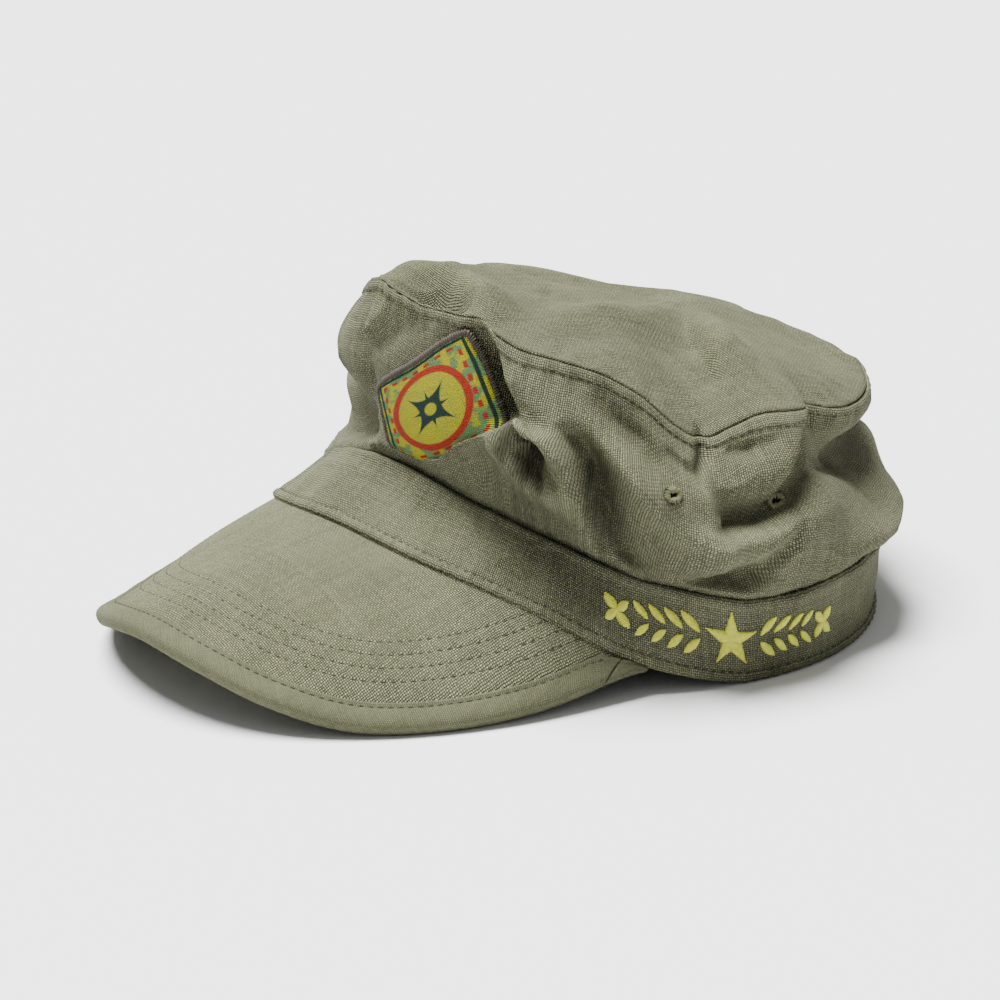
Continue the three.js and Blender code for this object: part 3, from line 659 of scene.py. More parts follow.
def creases(u, v, seed, count, u_range, v_range, length, width, height):
    """Short seeded creases, half of them raised and half sunk."""
    rng = np.random.default_rng(seed)
    total = np.zeros(np.shape(u))
    for i in range(count):
        start = (rng.uniform(*u_range), rng.uniform(*v_range))
        heading = rng.uniform(0, np.pi)
        reach = rng.uniform(0.5, 1.0) * length
        bow = rng.uniform(-0.2, 0.2) * reach
        level = (1 if i % 2 else -1) * height * rng.uniform(0.4, 1.0)
        thick = rng.uniform(0.6, 1.3) * width
        ahead = (math.cos(heading), math.sin(heading))
        middle_u = start[0] + ahead[0] * reach / 2 - ahead[1] * bow
        middle_v = start[1] + ahead[1] * reach / 2 + ahead[0] * bow
        end = (start[0] + ahead[0] * reach, start[1] + ahead[1] * reach)
        line = ((*start, 0.0), (middle_u, middle_v, level), (*end, 0.0))
        span = reach + 4 * thick
        near = (np.abs(u - middle_u) < span) & (np.abs(v - middle_v) < span)
        total[near] += fold_height(u[near], v[near], line, thick, thick * 0.6)
    return total


def pucker(u, pitch, height):
    """Uneven gathers along a seam."""
    drift = 2.1 * np.sin(u * 0.13) + 1.3 * np.sin(u * 0.047 + 1)
    strength = 0.65 + 0.35 * np.sin(u * 0.083 + 2)
    return height * strength * np.sin(2 * np.pi * u / pitch + drift)


def bump_at(v, place, width, sharpness=2):
    return np.exp(-(np.abs((v - place) / width) ** sharpness))


def wall_surface(angle, rise):
    """Crown's outer face on the wall, with its small relief."""
    angle, rise = paired(angle, rise)
    rise = np.clip(rise, 0, 1)
    u = angle * PER_DEGREE
    v = rise * WALL_HEIGHT
    below_seam = WALL_HEIGHT - v
    relief = waves(u, v, seed=5, count=12, shortest=16, longest=45, height=0.35)
    relief += creases(
        u, v, seed=9, count=110, u_range=(-250, 250), v_range=(3, 52), length=15, width=1.9, height=0.9,
    )
    amount = relief * smoothstep(v, 0, 5) * smoothstep(below_seam, 1.5, 7)
    amount += bump_at(below_seam, place=4.5, width=3.5) * pucker(u, pitch=6.5, height=0.6)
    amount += 0.9 * bump_at(below_seam, place=1.3, width=1.7, sharpness=6)
    amount -= 0.3 * bump_at(below_seam, place=STITCH_FROM_SEAM, width=0.5)
    amount += bump_at(v, place=3, width=3) * pucker(u, pitch=8.5, height=0.35)
    amount -= 1.3 * bump_at(v, place=0.6, width=1.1)
    from_back = turn_from(BACK_SEAM_ANGLE, angle) * PER_DEGREE
    amount += 0.4 * bump_at(np.abs(from_back), place=2.2, width=2, sharpness=4)
    amount -= 0.8 * bump_at(from_back, place=0, width=0.5)
    return crown_point(angle, rise) + outward(angle) * amount[..., None]


def top_surface(angle, rise):
    """Top panel's outer face with its small relief, rise from 1 at the seam to 2 in the middle."""
    angle, rise = paired(angle, rise)
    point = crown_point(angle, rise)
    from_seam = (rise - 1) * CROWN_HALF_WIDTH
    x = point[..., 0]
    y = point[..., 1]
    relief = waves(x, y, seed=21, count=12, shortest=22, longest=60, height=0.45)
    relief += creases(
        x, y, seed=23, count=60, u_range=(-80, 80), v_range=(-75, 90), length=24, width=2.4, height=0.8,
    )
    amount = relief * smoothstep(from_seam, 1, 8)
    amount += bump_at(from_seam, place=4, width=3.5) * pucker(angle * PER_DEGREE, pitch=7.5, height=0.45)
    amount += 0.7 * bump_at(from_seam, place=0, width=0.9)
    point[..., 2] += amount
    return point


def band_surface(angle, rise):
    """Band's outer face, rise from 0 at its lower edge to 1 at its upper one."""
    angle, rise = paired(angle, rise)
    up, face = band_frame(angle)
    v = rise * BAND_HEIGHT
    u = angle * BAND_PER_DEGREE
    point = rim_point(angle) + up * v[..., None]
    relief = waves(u, v, seed=31, count=12, shortest=16, longest=50, height=0.4)
    relief += creases(
        u, v, seed=33, count=70, u_range=(-310, 310), v_range=(4, 24), length=14, width=1.7, height=0.6,
    )
    amount = relief * smoothstep(v, 1, 6)
    amount += bump_at(v, place=1.5, width=2.6) * pucker(u, pitch=4.5, height=0.25)
    amount += 0.6 * bump_at(v, place=HEM / 2, width=HEM / 2, sharpness=6)
    amount += 0.6 * bump_at(v, place=BAND_HEIGHT - 1.6, width=1.5, sharpness=4)
    amount -= 0.3 * bump_at(v, place=HEM, width=0.45)
    amount -= 0.9 * bump_at(v, place=0, width=0.5)
    amount -= 1.0 * bump_at(v, place=BAND_HEIGHT, width=0.6)
    from_back = turn_from(BACK_SEAM_ANGLE, angle) * BAND_PER_DEGREE
    amount -= 0.7 * bump_at(from_back, place=0, width=0.5)
    return point + face * amount[..., None]


# Materials
class Nodes:
    """Small builder for one material's node tree."""

    def __init__(self, name, roughness, sheen=0.0, specular=0.25):
        self.material = bpy.data.materials.new(name)
        self.material.use_nodes = True
        self.tree = self.material.node_tree
        self.shader = self.tree.nodes["Principled BSDF"]
        self.shader.inputs["Roughness"].default_value = roughness
        self.shader.inputs["Sheen Weight"].default_value = sheen
        self.shader.inputs["Sheen Roughness"].default_value = 0.5
        self.shader.inputs["Specular IOR Level"].default_value = specular
        self.place = self.tree.nodes.new("ShaderNodeTexCoord")

    def feed(self, socket, value):
        if isinstance(value, bpy.types.NodeSocket):
            self.tree.links.new(value, socket)
        else:
            socket.default_value = value

    def node(self, kind, **inputs):
        made = self.tree.nodes.new(kind)
        for name, value in inputs.items():
            self.feed(made.inputs[name], value)
        return made

    def math(self, operation, a, b=0.0, c=0.0):
        made = self.tree.nodes.new("ShaderNodeMath")
        made.operation = operation
        for socket, value in zip(made.inputs, (a, b, c)):
            self.feed(socket, value)
        return made.outputs[0]

    def plus(self, a, b):
        return self.math("ADD", a, b)

    def minus(self, a, b):
        return self.math("SUBTRACT", a, b)

    def times(self, a, b):
        return self.math("MULTIPLY", a, b)

    def mix(self, share, a, b):
        made = self.tree.nodes.new("ShaderNodeMix")
        made.data_type = "RGBA"
        made.clamp_factor = True
        self.feed(made.inputs["Factor"], share)
        self.feed(made.inputs[6], a if isinstance(a, bpy.types.NodeSocket) else (*a, 1.0))
        self.feed(made.inputs[7], b if isinstance(b, bpy.types.NodeSocket) else (*b, 1.0))
        return made.outputs[2]

    def axes(self, vector):
        parts = self.node("ShaderNodeSeparateXYZ", Vector=vector)
        return parts.outputs["X"], parts.outputs["Y"]

    def noise(self, vector, scale, detail=2.0):
        return self.node("ShaderNodeTexNoise", Vector=vector, Scale=scale, Detail=detail).outputs["Fac"]

    def random(self, a, b=0.0):
        """Random number that is the same for equal inputs."""
        joined = self.node("ShaderNodeCombineXYZ", X=a, Y=b)
        return self.node("ShaderNodeTexWhiteNoise", Vector=joined.outputs[0]).outputs["Value"]

    def step(self, value, low, high):
        """Share that goes from 0 to 1 as the value goes from low to high."""
        made = self.node("ShaderNodeMapRange", Value=value)
        made.inputs["From Min"].default_value = low
        made.inputs["From Max"].default_value = high
        return made.outputs["Result"]

    def finish(self, colour, height, depth):
        self.feed(self.shader.inputs["Base Color"], colour)
        bump = self.node("ShaderNodeBump", Height=height, Distance=depth)
        self.feed(self.shader.inputs["Normal"], bump.outputs[0])
        return self.material


def woven(name, dark, light, pitch, turn=0.0, depth=0.0004, wear=0.5):
    """Plain-weave cotton: threads over and under each other, uneven threads, faint mottling.
    The pitch is the distance between neighbouring threads in millimetres."""
    n = Nodes(name, 0.95, specular=0.12)
    mapping = n.node("ShaderNodeMapping", Vector=n.place.outputs["UV"])
    mapping.inputs["Rotation"].default_value = (0, 0, turn)
    mapping.inputs["Scale"].default_value = (1 / (pitch * MM), 0.92 / (pitch * MM), 1)
    wobble = n.node("ShaderNodeTexNoise", Vector=mapping.outputs[0], Scale=0.22, Detail=2.0)
    moved = n.tree.nodes.new("ShaderNodeVectorMath")
    moved.operation = "MULTIPLY_ADD"
    n.feed(moved.inputs[0], wobble.outputs["Color"])
    n.feed(moved.inputs[1], (1.3, 1.3, 0.0))
    n.feed(moved.inputs[2], mapping.outputs[0])
    u, v = n.axes(moved.outputs[0])
    cell_u = n.math("FLOOR", u)
    cell_v = n.math("FLOOR", v)
    in_u = n.minus(n.math("FRACT", u), 0.5)
    in_v = n.minus(n.math("FRACT", v), 0.5)
    across_warp = n.math("COSINE", n.times(in_u, math.pi))
    across_weft = n.math("COSINE", n.times(in_v, math.pi))
    parity = n.math("PINGPONG", n.plus(cell_u, cell_v), 1.0)
    over = n.minus(1.0, parity)
    warp = n.times(n.times(across_warp, n.math("SQRT", across_weft)), over)
    weft = n.times(n.times(across_weft, n.math("SQRT", across_warp)), parity)
    height = n.plus(warp, n.times(weft, 0.62))
    warp_tone = n.times(n.random(cell_u, 3.0), over)
    weft_tone = n.times(n.random(7.0, cell_v), parity)
    uneven = n.times(n.plus(warp_tone, weft_tone), 0.5)
    uneven = n.plus(uneven, n.times(n.random(cell_u, cell_v), 0.5))
    patches = n.noise(n.place.outputs["Object"], 45.0, 4.0)
    # Colour follows the threads' height: painted highlight on their crowns and painted shade in the gaps
    # between them, plus the threads' own uneven tone and faint mottling
    painted_shade_and_tone = n.times(height, n.plus(0.55, n.times(uneven, 0.75)))
    painted_shade_and_tone = n.plus(painted_shade_and_tone, n.times(n.minus(patches, 0.5), wear))
    colour = n.mix(painted_shade_and_tone, dark, light)
    relief = n.plus(height, n.times(uneven, 0.3))
    return n.finish(colour, relief, depth)


def thread(name, colour, roughness=0.6, sheen=0.2):
    n = Nodes(name, roughness, sheen)
    spots = n.noise(n.place.outputs["Object"], 900.0, 3.0)
    colour = n.mix(spots, tuple(0.6 * c for c in colour), tuple(min(1, 1.35 * c) for c in colour))
    return n.finish(colour, n.noise(n.place.outputs["Object"], 3500.0), 0.0001)


YELLOW = (0.44, 0.41, 0.01)
MINT = (0.13, 0.25, 0.09)
TEAL = (0.004, 0.02, 0.024)
RED = (0.4, 0.016, 0.007)


# Badge lengths as shares of the way from its middle to a corner. Stars: turn, reach of their points
BADGE_RING = 0.5
BADGE_STARS = ((math.pi / 4, 0.3), (0.0, 0.43))
BADGE_LINE = 0.9
BADGE_DASHES = 0.8


def badge_material():
    """Woven badge. Its uv runs from -1 to 1 between opposite corners: a mottled ground in two colours,
    a compass star in a ring, and lines along the edges."""
    n = Nodes("badge_weave", 0.85, specular=0.15)
    x, y = n.axes(n.place.outputs["UV"])
    x = n.times(x, 1 / MM)
    y = n.times(y, 1 / MM)
    flat = n.node("ShaderNodeCombineXYZ", X=x, Y=y).outputs[0]
    colour = n.mix(n.step(n.noise(flat, 5.0, 3.0), 0.47, 0.53), YELLOW, MINT)
    radius = n.math("SQRT", n.plus(n.times(x, x), n.times(y, y)))
    from_ring = n.math("ABSOLUTE", n.minus(radius, BADGE_RING))
    disc = n.step(radius, BADGE_RING - 0.04, BADGE_RING - 0.06)
    colour = n.mix(n.times(disc, 0.85), colour, YELLOW)
    colour = n.mix(n.step(from_ring, 0.05, 0.035), colour, RED)
    for turn, reach in BADGE_STARS:
        along = n.math("ABSOLUTE", n.plus(n.times(x, math.cos(turn)), n.times(y, math.sin(turn))))
        aside = n.math("ABSOLUTE", n.minus(n.times(y, math.cos(turn)), n.times(x, math.sin(turn))))
        roots = n.plus(n.math("SQRT", along), n.math("SQRT", aside))
        star = n.step(roots, math.sqrt(reach) * 1.04, math.sqrt(reach) * 0.96)
        colour = n.mix(star, colour, TEAL)
    colour = n.mix(n.step(radius, 0.09, 0.07), colour, YELLOW)
    far_x = n.math("ABSOLUTE", x)
    far_y = n.math("ABSOLUTE", y)
    edge = n.plus(far_x, far_y)
    from_line = n.math("ABSOLUTE", n.minus(edge, BADGE_LINE))
    colour = n.mix(n.step(from_line, 0.03, 0.018), colour, TEAL)
    from_dashes = n.math("ABSOLUTE", n.minus(edge, BADGE_DASHES))
    beat = n.math("SINE", n.times(n.minus(far_x, far_y), 26))
    dashes = n.times(n.step(from_dashes, 0.035, 0.02), n.step(beat, -0.2, 0.2))
    colour = n.mix(dashes, colour, RED)
    wavering = n.plus(y, n.times(n.noise(flat, 9.0), 0.02))
    weft = n.math("SINE", n.times(wavering, 300))
    speck = n.noise(flat, 60.0, 2.0)
    # The badge is darkened towards a dark mint, most in the weft's grooves and least on its ridges and
    # specks: painted shade and painted highlight that follow its relief
    painted_relief_light = n.plus(n.times(n.plus(weft, 1.0), 0.12), n.times(n.step(speck, 0.35, 0.65), 0.3))
    colour = n.mix(n.times(n.minus(0.55, painted_relief_light), 0.8), colour, tuple(0.25 * c for c in MINT))
    return n.finish(colour, n.plus(weft, speck), 0.0002)


# Cloth colours: the first of each pair is painted shade for the gaps between the threads, the second the
# cloth's own colour, shown fullest on the thread crowns as a painted highlight
OLIVE_GAP_SHADE = (0.022, 0.0226, 0.0133)
OLIVE_LIGHT = (0.305, 0.309, 0.187)
PEAK_GAP_SHADE = (0.022, 0.023, 0.013)
PEAK_LIGHT = (0.34, 0.345, 0.206)
BINDING_GAP_SHADE = (0.045, 0.046, 0.026)
BINDING_LIGHT = (0.2, 0.204, 0.12)
canvas = woven("canvas", OLIVE_GAP_SHADE, OLIVE_LIGHT, pitch=0.66, depth=0.0005, wear=0.35)
band_canvas = woven("band_canvas", OLIVE_GAP_SHADE, OLIVE_LIGHT, pitch=0.64, depth=0.0005, wear=0.5)
peak_canvas = woven("peak_canvas", PEAK_GAP_SHADE, PEAK_LIGHT, pitch=0.64, depth=0.0005, wear=0.2)
binding_cloth = woven(
    "binding_cloth", BINDING_GAP_SHADE, BINDING_LIGHT, pitch=0.45, turn=0.785, depth=0.0002, wear=0.3,
)
badge_cloth = badge_material()
stitch_thread = thread("stitch_thread", (0.035, 0.035, 0.018), sheen=0.0)
border_thread = thread("border_thread", (0.04, 0.031, 0.022), sheen=0.0)
eyelet_thread = thread("eyelet_thread", (0.13, 0.13, 0.065), sheen=0.0)
lime_thread = thread("lime_thread", (0.5, 0.52, 0.05), roughness=0.45, sheen=0.1)


# Near-black dish for each eyelet's hole: painted shade that stands in for the cap's dark inside, as the wall
# under it is not cut
def hole_shade_material():
    n = Nodes("hole_painted_shade", 1.0, specular=0.0)
    spots = n.noise(n.place.outputs["Object"], 600.0)
    colour = n.mix(spots, (0.004, 0.004, 0.003), (0.012, 0.011, 0.008))
    return n.finish(colour, n.noise(n.place.outputs["Object"], 2000.0), 0.0001)


hole_painted_shade = hole_shade_material()


# Crown wall, top panel and band. Their columns are closer together between two angles, where most folds are
COLUMNS = 520
FINE_FROM = -34
FINE_TO = 126
FINE_SHARE_CROWN = 0.62
FINE_SHARE_BAND = 0.5
WALL_ROWS = 92
TOP_ROWS = 92
BAND_ROWS = 40


def round_grid(rises, fine_share):
    """Angle from -180 to 180, rise, and the angle as it runs on round the cap, for all rows and columns."""
    fine = np.linspace(FINE_FROM, FINE_TO, int(fine_share * COLUMNS), endpoint=False)
    coarse = np.linspace(FINE_TO, FINE_FROM + 360, COLUMNS - len(fine), endpoint=False)
    angle, rise = np.meshgrid(np.concatenate([fine, coarse]), rises)
    return turn_from(0, angle), rise, angle


def build_wall():
    angle, rise, unrolled = round_grid(np.linspace(0, 1, WALL_ROWS), FINE_SHARE_CROWN)
    outer = wall_surface(angle, rise)
    up, face = band_frame(angle[0])
    outer[0] -= up * WALL_TUCK + face * (BAND_THICKNESS / 2)
    inner = outer - grid_normals(outer, True) * CLOTH
    steps = np.linalg.norm(np.diff(outer, axis=0), axis=-1)
    below_top = np.concatenate([np.cumsum(steps[::-1], axis=0)[::-1], np.zeros((1, outer.shape[1]))])
    uv = np.stack([unrolled * 0.9 * BAND_PER_DEGREE, WALL_HEIGHT - below_top], axis=-1)
    thing = shell("crown_wall_cloth", outer, inner, True, canvas, uv)
    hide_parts("crown_wall")


def build_top():
    angle, rise, _ = round_grid(1 + np.linspace(0, 1, TOP_ROWS + 1)[:-1] ** 0.85, FINE_SHARE_CROWN)
    outer = top_surface(angle, rise)
    inner = outer - UP * CLOTH
    # The weave leans with the height, so that it isn't stretched on steep folds
    lift = outer[..., 2] - SEAM_BACK_HEIGHT + TOP_SLOPE * outer[..., 1]
    uv = outer[..., :2] - lift[..., None] * np.array(TOP_WEAVE_LEAN)
    inner_uv = uv + outward(angle)[..., :2] * CLOTH
    thing = dome("top_panel_cloth", outer, inner, canvas, uv, inner_uv)
    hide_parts("top_panel")


def build_band():
    angle, rise, unrolled = round_grid(np.linspace(0, 1, BAND_ROWS), FINE_SHARE_BAND)
    outer = band_surface(angle, rise)
    inner = outer - band_frame(angle)[1] * BAND_THICKNESS
    outer[..., 2] = np.maximum(outer[..., 2], 0)
    inner[..., 2] = np.maximum(inner[..., 2], 0)
    uv = np.stack([unrolled * BAND_PER_DEGREE, rise * BAND_HEIGHT], axis=-1)
    thing = shell("band_cloth", outer, inner, True, band_canvas, uv)
    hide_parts("band")


def build_cloth_stitches():
    seam_rise = 1 - STITCH_FROM_SEAM / WALL_HEIGHT
    stitch_row("seam_stitches", wall_surface, lambda t: (-180 + 360 * t, 0 * t + seam_rise), "crown_wall")
    stitch_row("hem_stitches", band_surface, lambda t: (-180 + 360 * t, 0 * t + HEM / BAND_HEIGHT), "band")
    for name, side in (("back_seam_stitches_left", -1), ("back_seam_stitches_right", 1)):
        angle = BACK_SEAM_ANGLE + side * 3.2 / PER_DEGREE
        stitch_row(name, wall_surface, lambda t, a=angle: (0 * t + a, 0.03 + 0.9 * t), "crown_wall")


# Peak, with distances from its edge measured over its surface
def edge_distances(samples=241, depths=121):
    across = spread(samples)
    out = np.linspace(0, 1, depths)
    a, o = np.meshgrid(across, out, indexing="ij")
    points = peak_point(a, o)
    edge = peak_outer_edge(spread(701))
    distance = np.empty(a.shape)
    for i in range(samples):
        distance[i] = np.linalg.norm(points[i][:, None] - edge[None], axis=-1).min(axis=1)
    return across, out, distance


EDGE_ACROSS, EDGE_OUT, EDGE_DISTANCE = edge_distances()


def distance_column(across):
    k = int(np.clip(np.searchsorted(EDGE_ACROSS, across), 1, len(EDGE_ACROSS) - 1))
    t = np.clip((across - EDGE_ACROSS[k - 1]) / (EDGE_ACROSS[k] - EDGE_ACROSS[k - 1]), 0, 1)
    return EDGE_DISTANCE[k - 1] * (1 - t) + EDGE_DISTANCE[k] * t


def out_at_distance(across, distance):
    """Share of the way from the band to the peak's edge that leaves a distance to that edge."""
    return np.array([np.interp(-distance, -distance_column(a), EDGE_OUT) for a in np.ravel(across)])


def distance_at(across, out):
    flat = [np.interp(o, EDGE_OUT, distance_column(a)) for a, o in zip(np.ravel(across), np.ravel(out))]
    return np.array(flat).reshape(np.shape(across))


def peak_face(across, out):
    step = 0.004
    place = np.clip(across, -1 + step, 1 - step)
    along = peak_point(place + step, out) - peak_point(place - step, out)
    inward = peak_inner_edge(across) - peak_outer_edge(across)
    return unit(np.cross(along, inward))


def peak_surface(across, out):
    """Peak's upper face with its small relief."""
    across, out = paired(across, out)
    across = np.clip(across, -BINDING_WIDTH_SHARE, BINDING_WIDTH_SHARE)
    point = peak_point(across, out)
    relief = waves(point[..., 0], point[..., 1], 41, 10, 30, 90, 0.25)
    return point + peak_face(across, out) * (PEAK_THICKNESS / 2 + relief)[..., None]


def build_peak():
    across = spread(321) * PEAK_WIDTH_SHARE
    a, o = np.meshgrid(across, np.linspace(0, 1, 121))
    reach = np.linalg.norm(peak_outer_edge(a) - peak_inner_edge(a), axis=-1)
    o = o * (1 - 1.2 / reach)
    top = peak_surface(a, o)
    face = peak_face(a, o)
    under = top - face * PEAK_THICKNESS
    under[..., 2] = np.maximum(under[..., 2], 0.05)
    distance = distance_at(a, o)
    relief = -0.16 * sum(bump_at(distance, row, 0.45) for row in PEAK_STITCH_ROWS)
    relief = relief + 0.06 * pucker(a * 150 + distance * 2, 9, 1.0) * bump_at(distance, 22, 10, 4)
    top = top + face * relief[..., None]
    thing = shell("peak_board", top[::-1], under[::-1], False, peak_canvas, top[::-1, :, :2] * 1.03)
    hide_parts("peak")


def build_peak_stitches():
    for k, row in enumerate(PEAK_STITCH_ROWS):
        places = spread(901) * PEAK_WIDTH_SHARE
        out = out_at_distance(places, row)
        seen = np.flatnonzero(out > 0.03)
        first = places[seen[0]]
        last = places[seen[-1]]

        def place(t, first=first, last=last, places=places, out=out):
            across = first + (last - first) * t
            return across, np.interp(across, places, out)

        def surface(across, out):
            return peak_surface(across, out) - peak_face(across, out) * 0.16

        middles, along, face = along_line(surface, place, STITCH_LENGTH + STITCH_GAP)
        face = peak_face(*place(np.linspace(0, 1, len(middles))))
        thing = thread_bits(
            f"peak_stitches_{k + 1}", middles + face * 0.05, along, face, STITCH_LENGTH / 2,
            STITCH_RADIUS * 0.9, stitch_thread, bend=0.2,
        )
        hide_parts("peak")


# Binding. Each row of its flap: share of the flap's width from the edge, height as a share of its half; then
# the shares where the flap swells over its filling, and the reach and height of the round nose
FLAP_ROWS = ((1, 0.45), (0.99, 0.85), (0.95, 1), (0.88, 1.02), (0.8, 0.86), (0.72, 1.05))
FLAP_SWELL = 0.45
FLAP_SWELL_SHARES = (0.62, 0.5, 0.38, 0.27, 0.18)
NOSE_REACH = 1.5
NOSE_HEIGHT = 1.36


def binding_section():
    """Rows of the outer cross-section from the upper flap's free edge round the nose to the lower one:
    share of the flap's width from the edge, distance in millimetres and height as a share of the half."""
    upper = [(share, 0, level) for share, level in FLAP_ROWS]
    for share in FLAP_SWELL_SHARES:
        upper.append((share, 0, 1 + FLAP_SWELL * math.sin(math.pi * (0.72 - share) / 0.9)))
    nose = []
    for degrees in range(75, -76, -15):
        a = math.radians(degrees)
        nose.append((0, NOSE_REACH * (1 - math.cos(a)) - 0.5, NOSE_HEIGHT * math.sin(a)))
    lower = [(share, drop, -level) for share, drop, level in reversed(upper)]
    return upper + nose + lower


def build_binding():
    across = spread(421) * BINDING_WIDTH_SHARE
    reach = np.linalg.norm(peak_outer_edge(across) - peak_inner_edge(across), axis=-1)
    flap = np.minimum((1 - out_at_distance(across, BINDING_WIDTH)) * reach, 0.85 * reach)
    edge = peak_outer_edge(across)
    u = travel(edge)
    gather = 1 + 0.03 * np.sin(u * 0.7 + 2 * np.sin(u * 0.11)) + 0.015 * np.sin(u * 2.3)
    seams = 1 - 0.4 * sum(bump_at(u, place, 0.5) for place in (u[-1] * 0.045, u[-1] * 0.955))
    outer = []
    inner = []
    uv = []
    travelled = 0.0
    for share, extra, level in binding_section():
        back = flap * share + extra
        out = 1 - back / reach
        fat = gather if 0.1 < share < 0.75 else 1.0
        height = BINDING_HALF * level * fat * seams
        point = peak_point(across, out) + peak_face(across, np.minimum(out, 1)) * height[..., None]
        core = peak_point(across, 1 - np.maximum(back, 1.0) / reach)
        lift = np.clip(height, -1, 1) * (PEAK_THICKNESS / 2 + 0.1)
        point[:, 2] = np.maximum(point[:, 2], 0.0)
        hidden = core + peak_face(across, np.minimum(out, 1)) * lift[..., None]
        hidden[:, 2] = np.maximum(hidden[:, 2], 0.03)
        if outer:
            travelled += np.linalg.norm(point - outer[-1], axis=1).mean()
        outer.append(point)
        inner.append(hidden)
        uv.append(np.stack([u, np.full(u.shape, travelled)], axis=-1))
    outer, inner, uv = (np.array(rows)[::-1] for rows in (outer, inner, uv))
    thing = shell("peak_binding_cloth", outer, inner, False, binding_cloth, uv)
    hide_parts("peak_binding")


def build_binding_stitches():
    places = spread(901) * PEAK_WIDTH_SHARE
    out = out_at_distance(places, BINDING_STITCH)

    def surface(across, out):
        return peak_point(across, out) + peak_face(across, out) * (BINDING_HALF * 0.88)

    def place(t):
        across = PEAK_WIDTH_SHARE * (2 * t - 1) * 0.995
        return across, np.interp(across, places, out)

    middles, along, _ = along_line(surface, place, STITCH_LENGTH + STITCH_GAP)
    face = unit(np.cross(along, np.cross(UP, along)))
    middles = middles + face * 0.1
    half = STITCH_LENGTH / 2
    thing = thread_bits(
        "binding_stitches", middles, along, face, half, STITCH_RADIUS, stitch_thread, bend=0.2,
    )
    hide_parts("peak_binding")


# Patch on the crown's front
def patch_place(a, b):
    """Angle and rise for shares a and b of the way from the lower corner to the right and the left one."""
    corners = (PATCH_BOTTOM, PATCH_RIGHT, PATCH_TOP, PATCH_LEFT)
    bottom, right, top, left = (np.array(corner) for corner in corners)
    a = np.asarray(a, float)[..., None]
    b = np.asarray(b, float)[..., None]
    place = bottom * (1 - a) * (1 - b) + right * a * (1 - b) + top * a * b + left * (1 - a) * b
    sag = np.array(PATCH_SAG) * (1 - a) ** 2 * (1 - b)
    rise = place[..., 1] + sag[..., 1] * 4 * a[..., 0]
    return place[..., 0] + sag[..., 0], np.maximum(rise, PATCH_LOWEST)


def cloth_behind_lip(angle, rise):
    """Crown's face without the lip that covers the patch's lower edge."""
    return crown_point(angle, rise, WALL_FOLDS[1:])


def patch_point(a, b, lift):
    angle, rise = patch_place(a, b)
    face = surface_normal(cloth_behind_lip, angle, rise, step_a=2.0, step_b=0.04)
    lift = lift - PATCH_DIVE * (1 - smoothstep(rise, 0, PATCH_DIVE_RISE))
    return cloth_behind_lip(angle, rise) + face * lift[..., None]


def build_patch():
    b, a = np.meshgrid(np.linspace(0.015, 0.985, 61), np.linspace(0.015, 0.985, 61))
    b = np.maximum(b, PATCH_TUCK * (1 - a))
    outer = patch_point(a, b, PATCH_LIFT + PATCH_CLOTH)
    inner = patch_point(a, b, PATCH_LIFT)
    uv = np.stack([a - b, a + b - 1], axis=-1)
    if np.cross(outer[0, 1] - outer[0, 0], outer[1, 0] - outer[0, 0]) @ outward(np.array(15.0)) < 0:
        outer, inner, uv = outer[:, ::-1], inner[:, ::-1], uv[:, ::-1]
    thing = shell("patch_cloth", outer, inner, False, badge_cloth, uv)
    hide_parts("patch")


def patch_outline(count, corner=0.05):
    """Shares a and b once round the patch, with rounded corners."""
    t = np.linspace(0, 4, count, endpoint=False)
    side = np.floor(t).astype(int)
    s = t - side
    a = np.choose(side, [s, np.ones(count), 1 - s, np.zeros(count)])
    b = np.choose(side, [np.zeros(count), s, np.ones(count), 1 - s])
    pull = corner * (np.exp(-s / corner) + np.exp(-(1 - s) / corner))
    a = a + (0.5 - a) * pull
    b = b + (0.5 - b) * pull
    return a, np.maximum(b, PATCH_TUCK * (1 - a))


def build_patch_border():
    a, b = patch_outline(1500)
    middle = patch_point(a, b, PATCH_LIFT + PATCH_CLOTH * 0.4)
    angle, rise = patch_place(a, b)
    face = surface_normal(cloth_behind_lip, angle, rise, step_a=2.0, step_b=0.04)
    along = unit(np.roll(middle, -1, axis=0) - np.roll(middle, 1, axis=0))
    side = np.cross(along, face)
    travelled = travel(middle)
    rng = np.random.default_rng(4)
    fuzz = np.interp(travelled, np.linspace(0, travelled[-1], 300), rng.uniform(-0.16, 0.16, 300))
    rings = []
    for turn in np.linspace(0, 2 * np.pi, 14, endpoint=False):
        ridge = 0.18 * np.cos(2 * np.pi * travelled / 0.8 + turn * 1.2)
        wide = (BORDER_HALF + ridge + fuzz)[:, None]
        rings.append(middle + side * math.cos(turn) * wide + face * math.sin(turn) * wide * 0.75)
    points = np.array(rings)
    columns = points.shape[1]
    faces = []
    for i in range(len(rings)):
        j = np.arange(columns)
        k = (j + 1) % columns
        low = i * columns
        high = (i + 1) % len(rings) * columns
        faces += np.stack([low + j, low + k, high + k, high + j], axis=-1).tolist()
    thing = mesh_object("patch_border_thread", points.reshape(-1, 3), faces, None, border_thread)
    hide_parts("patch_border")


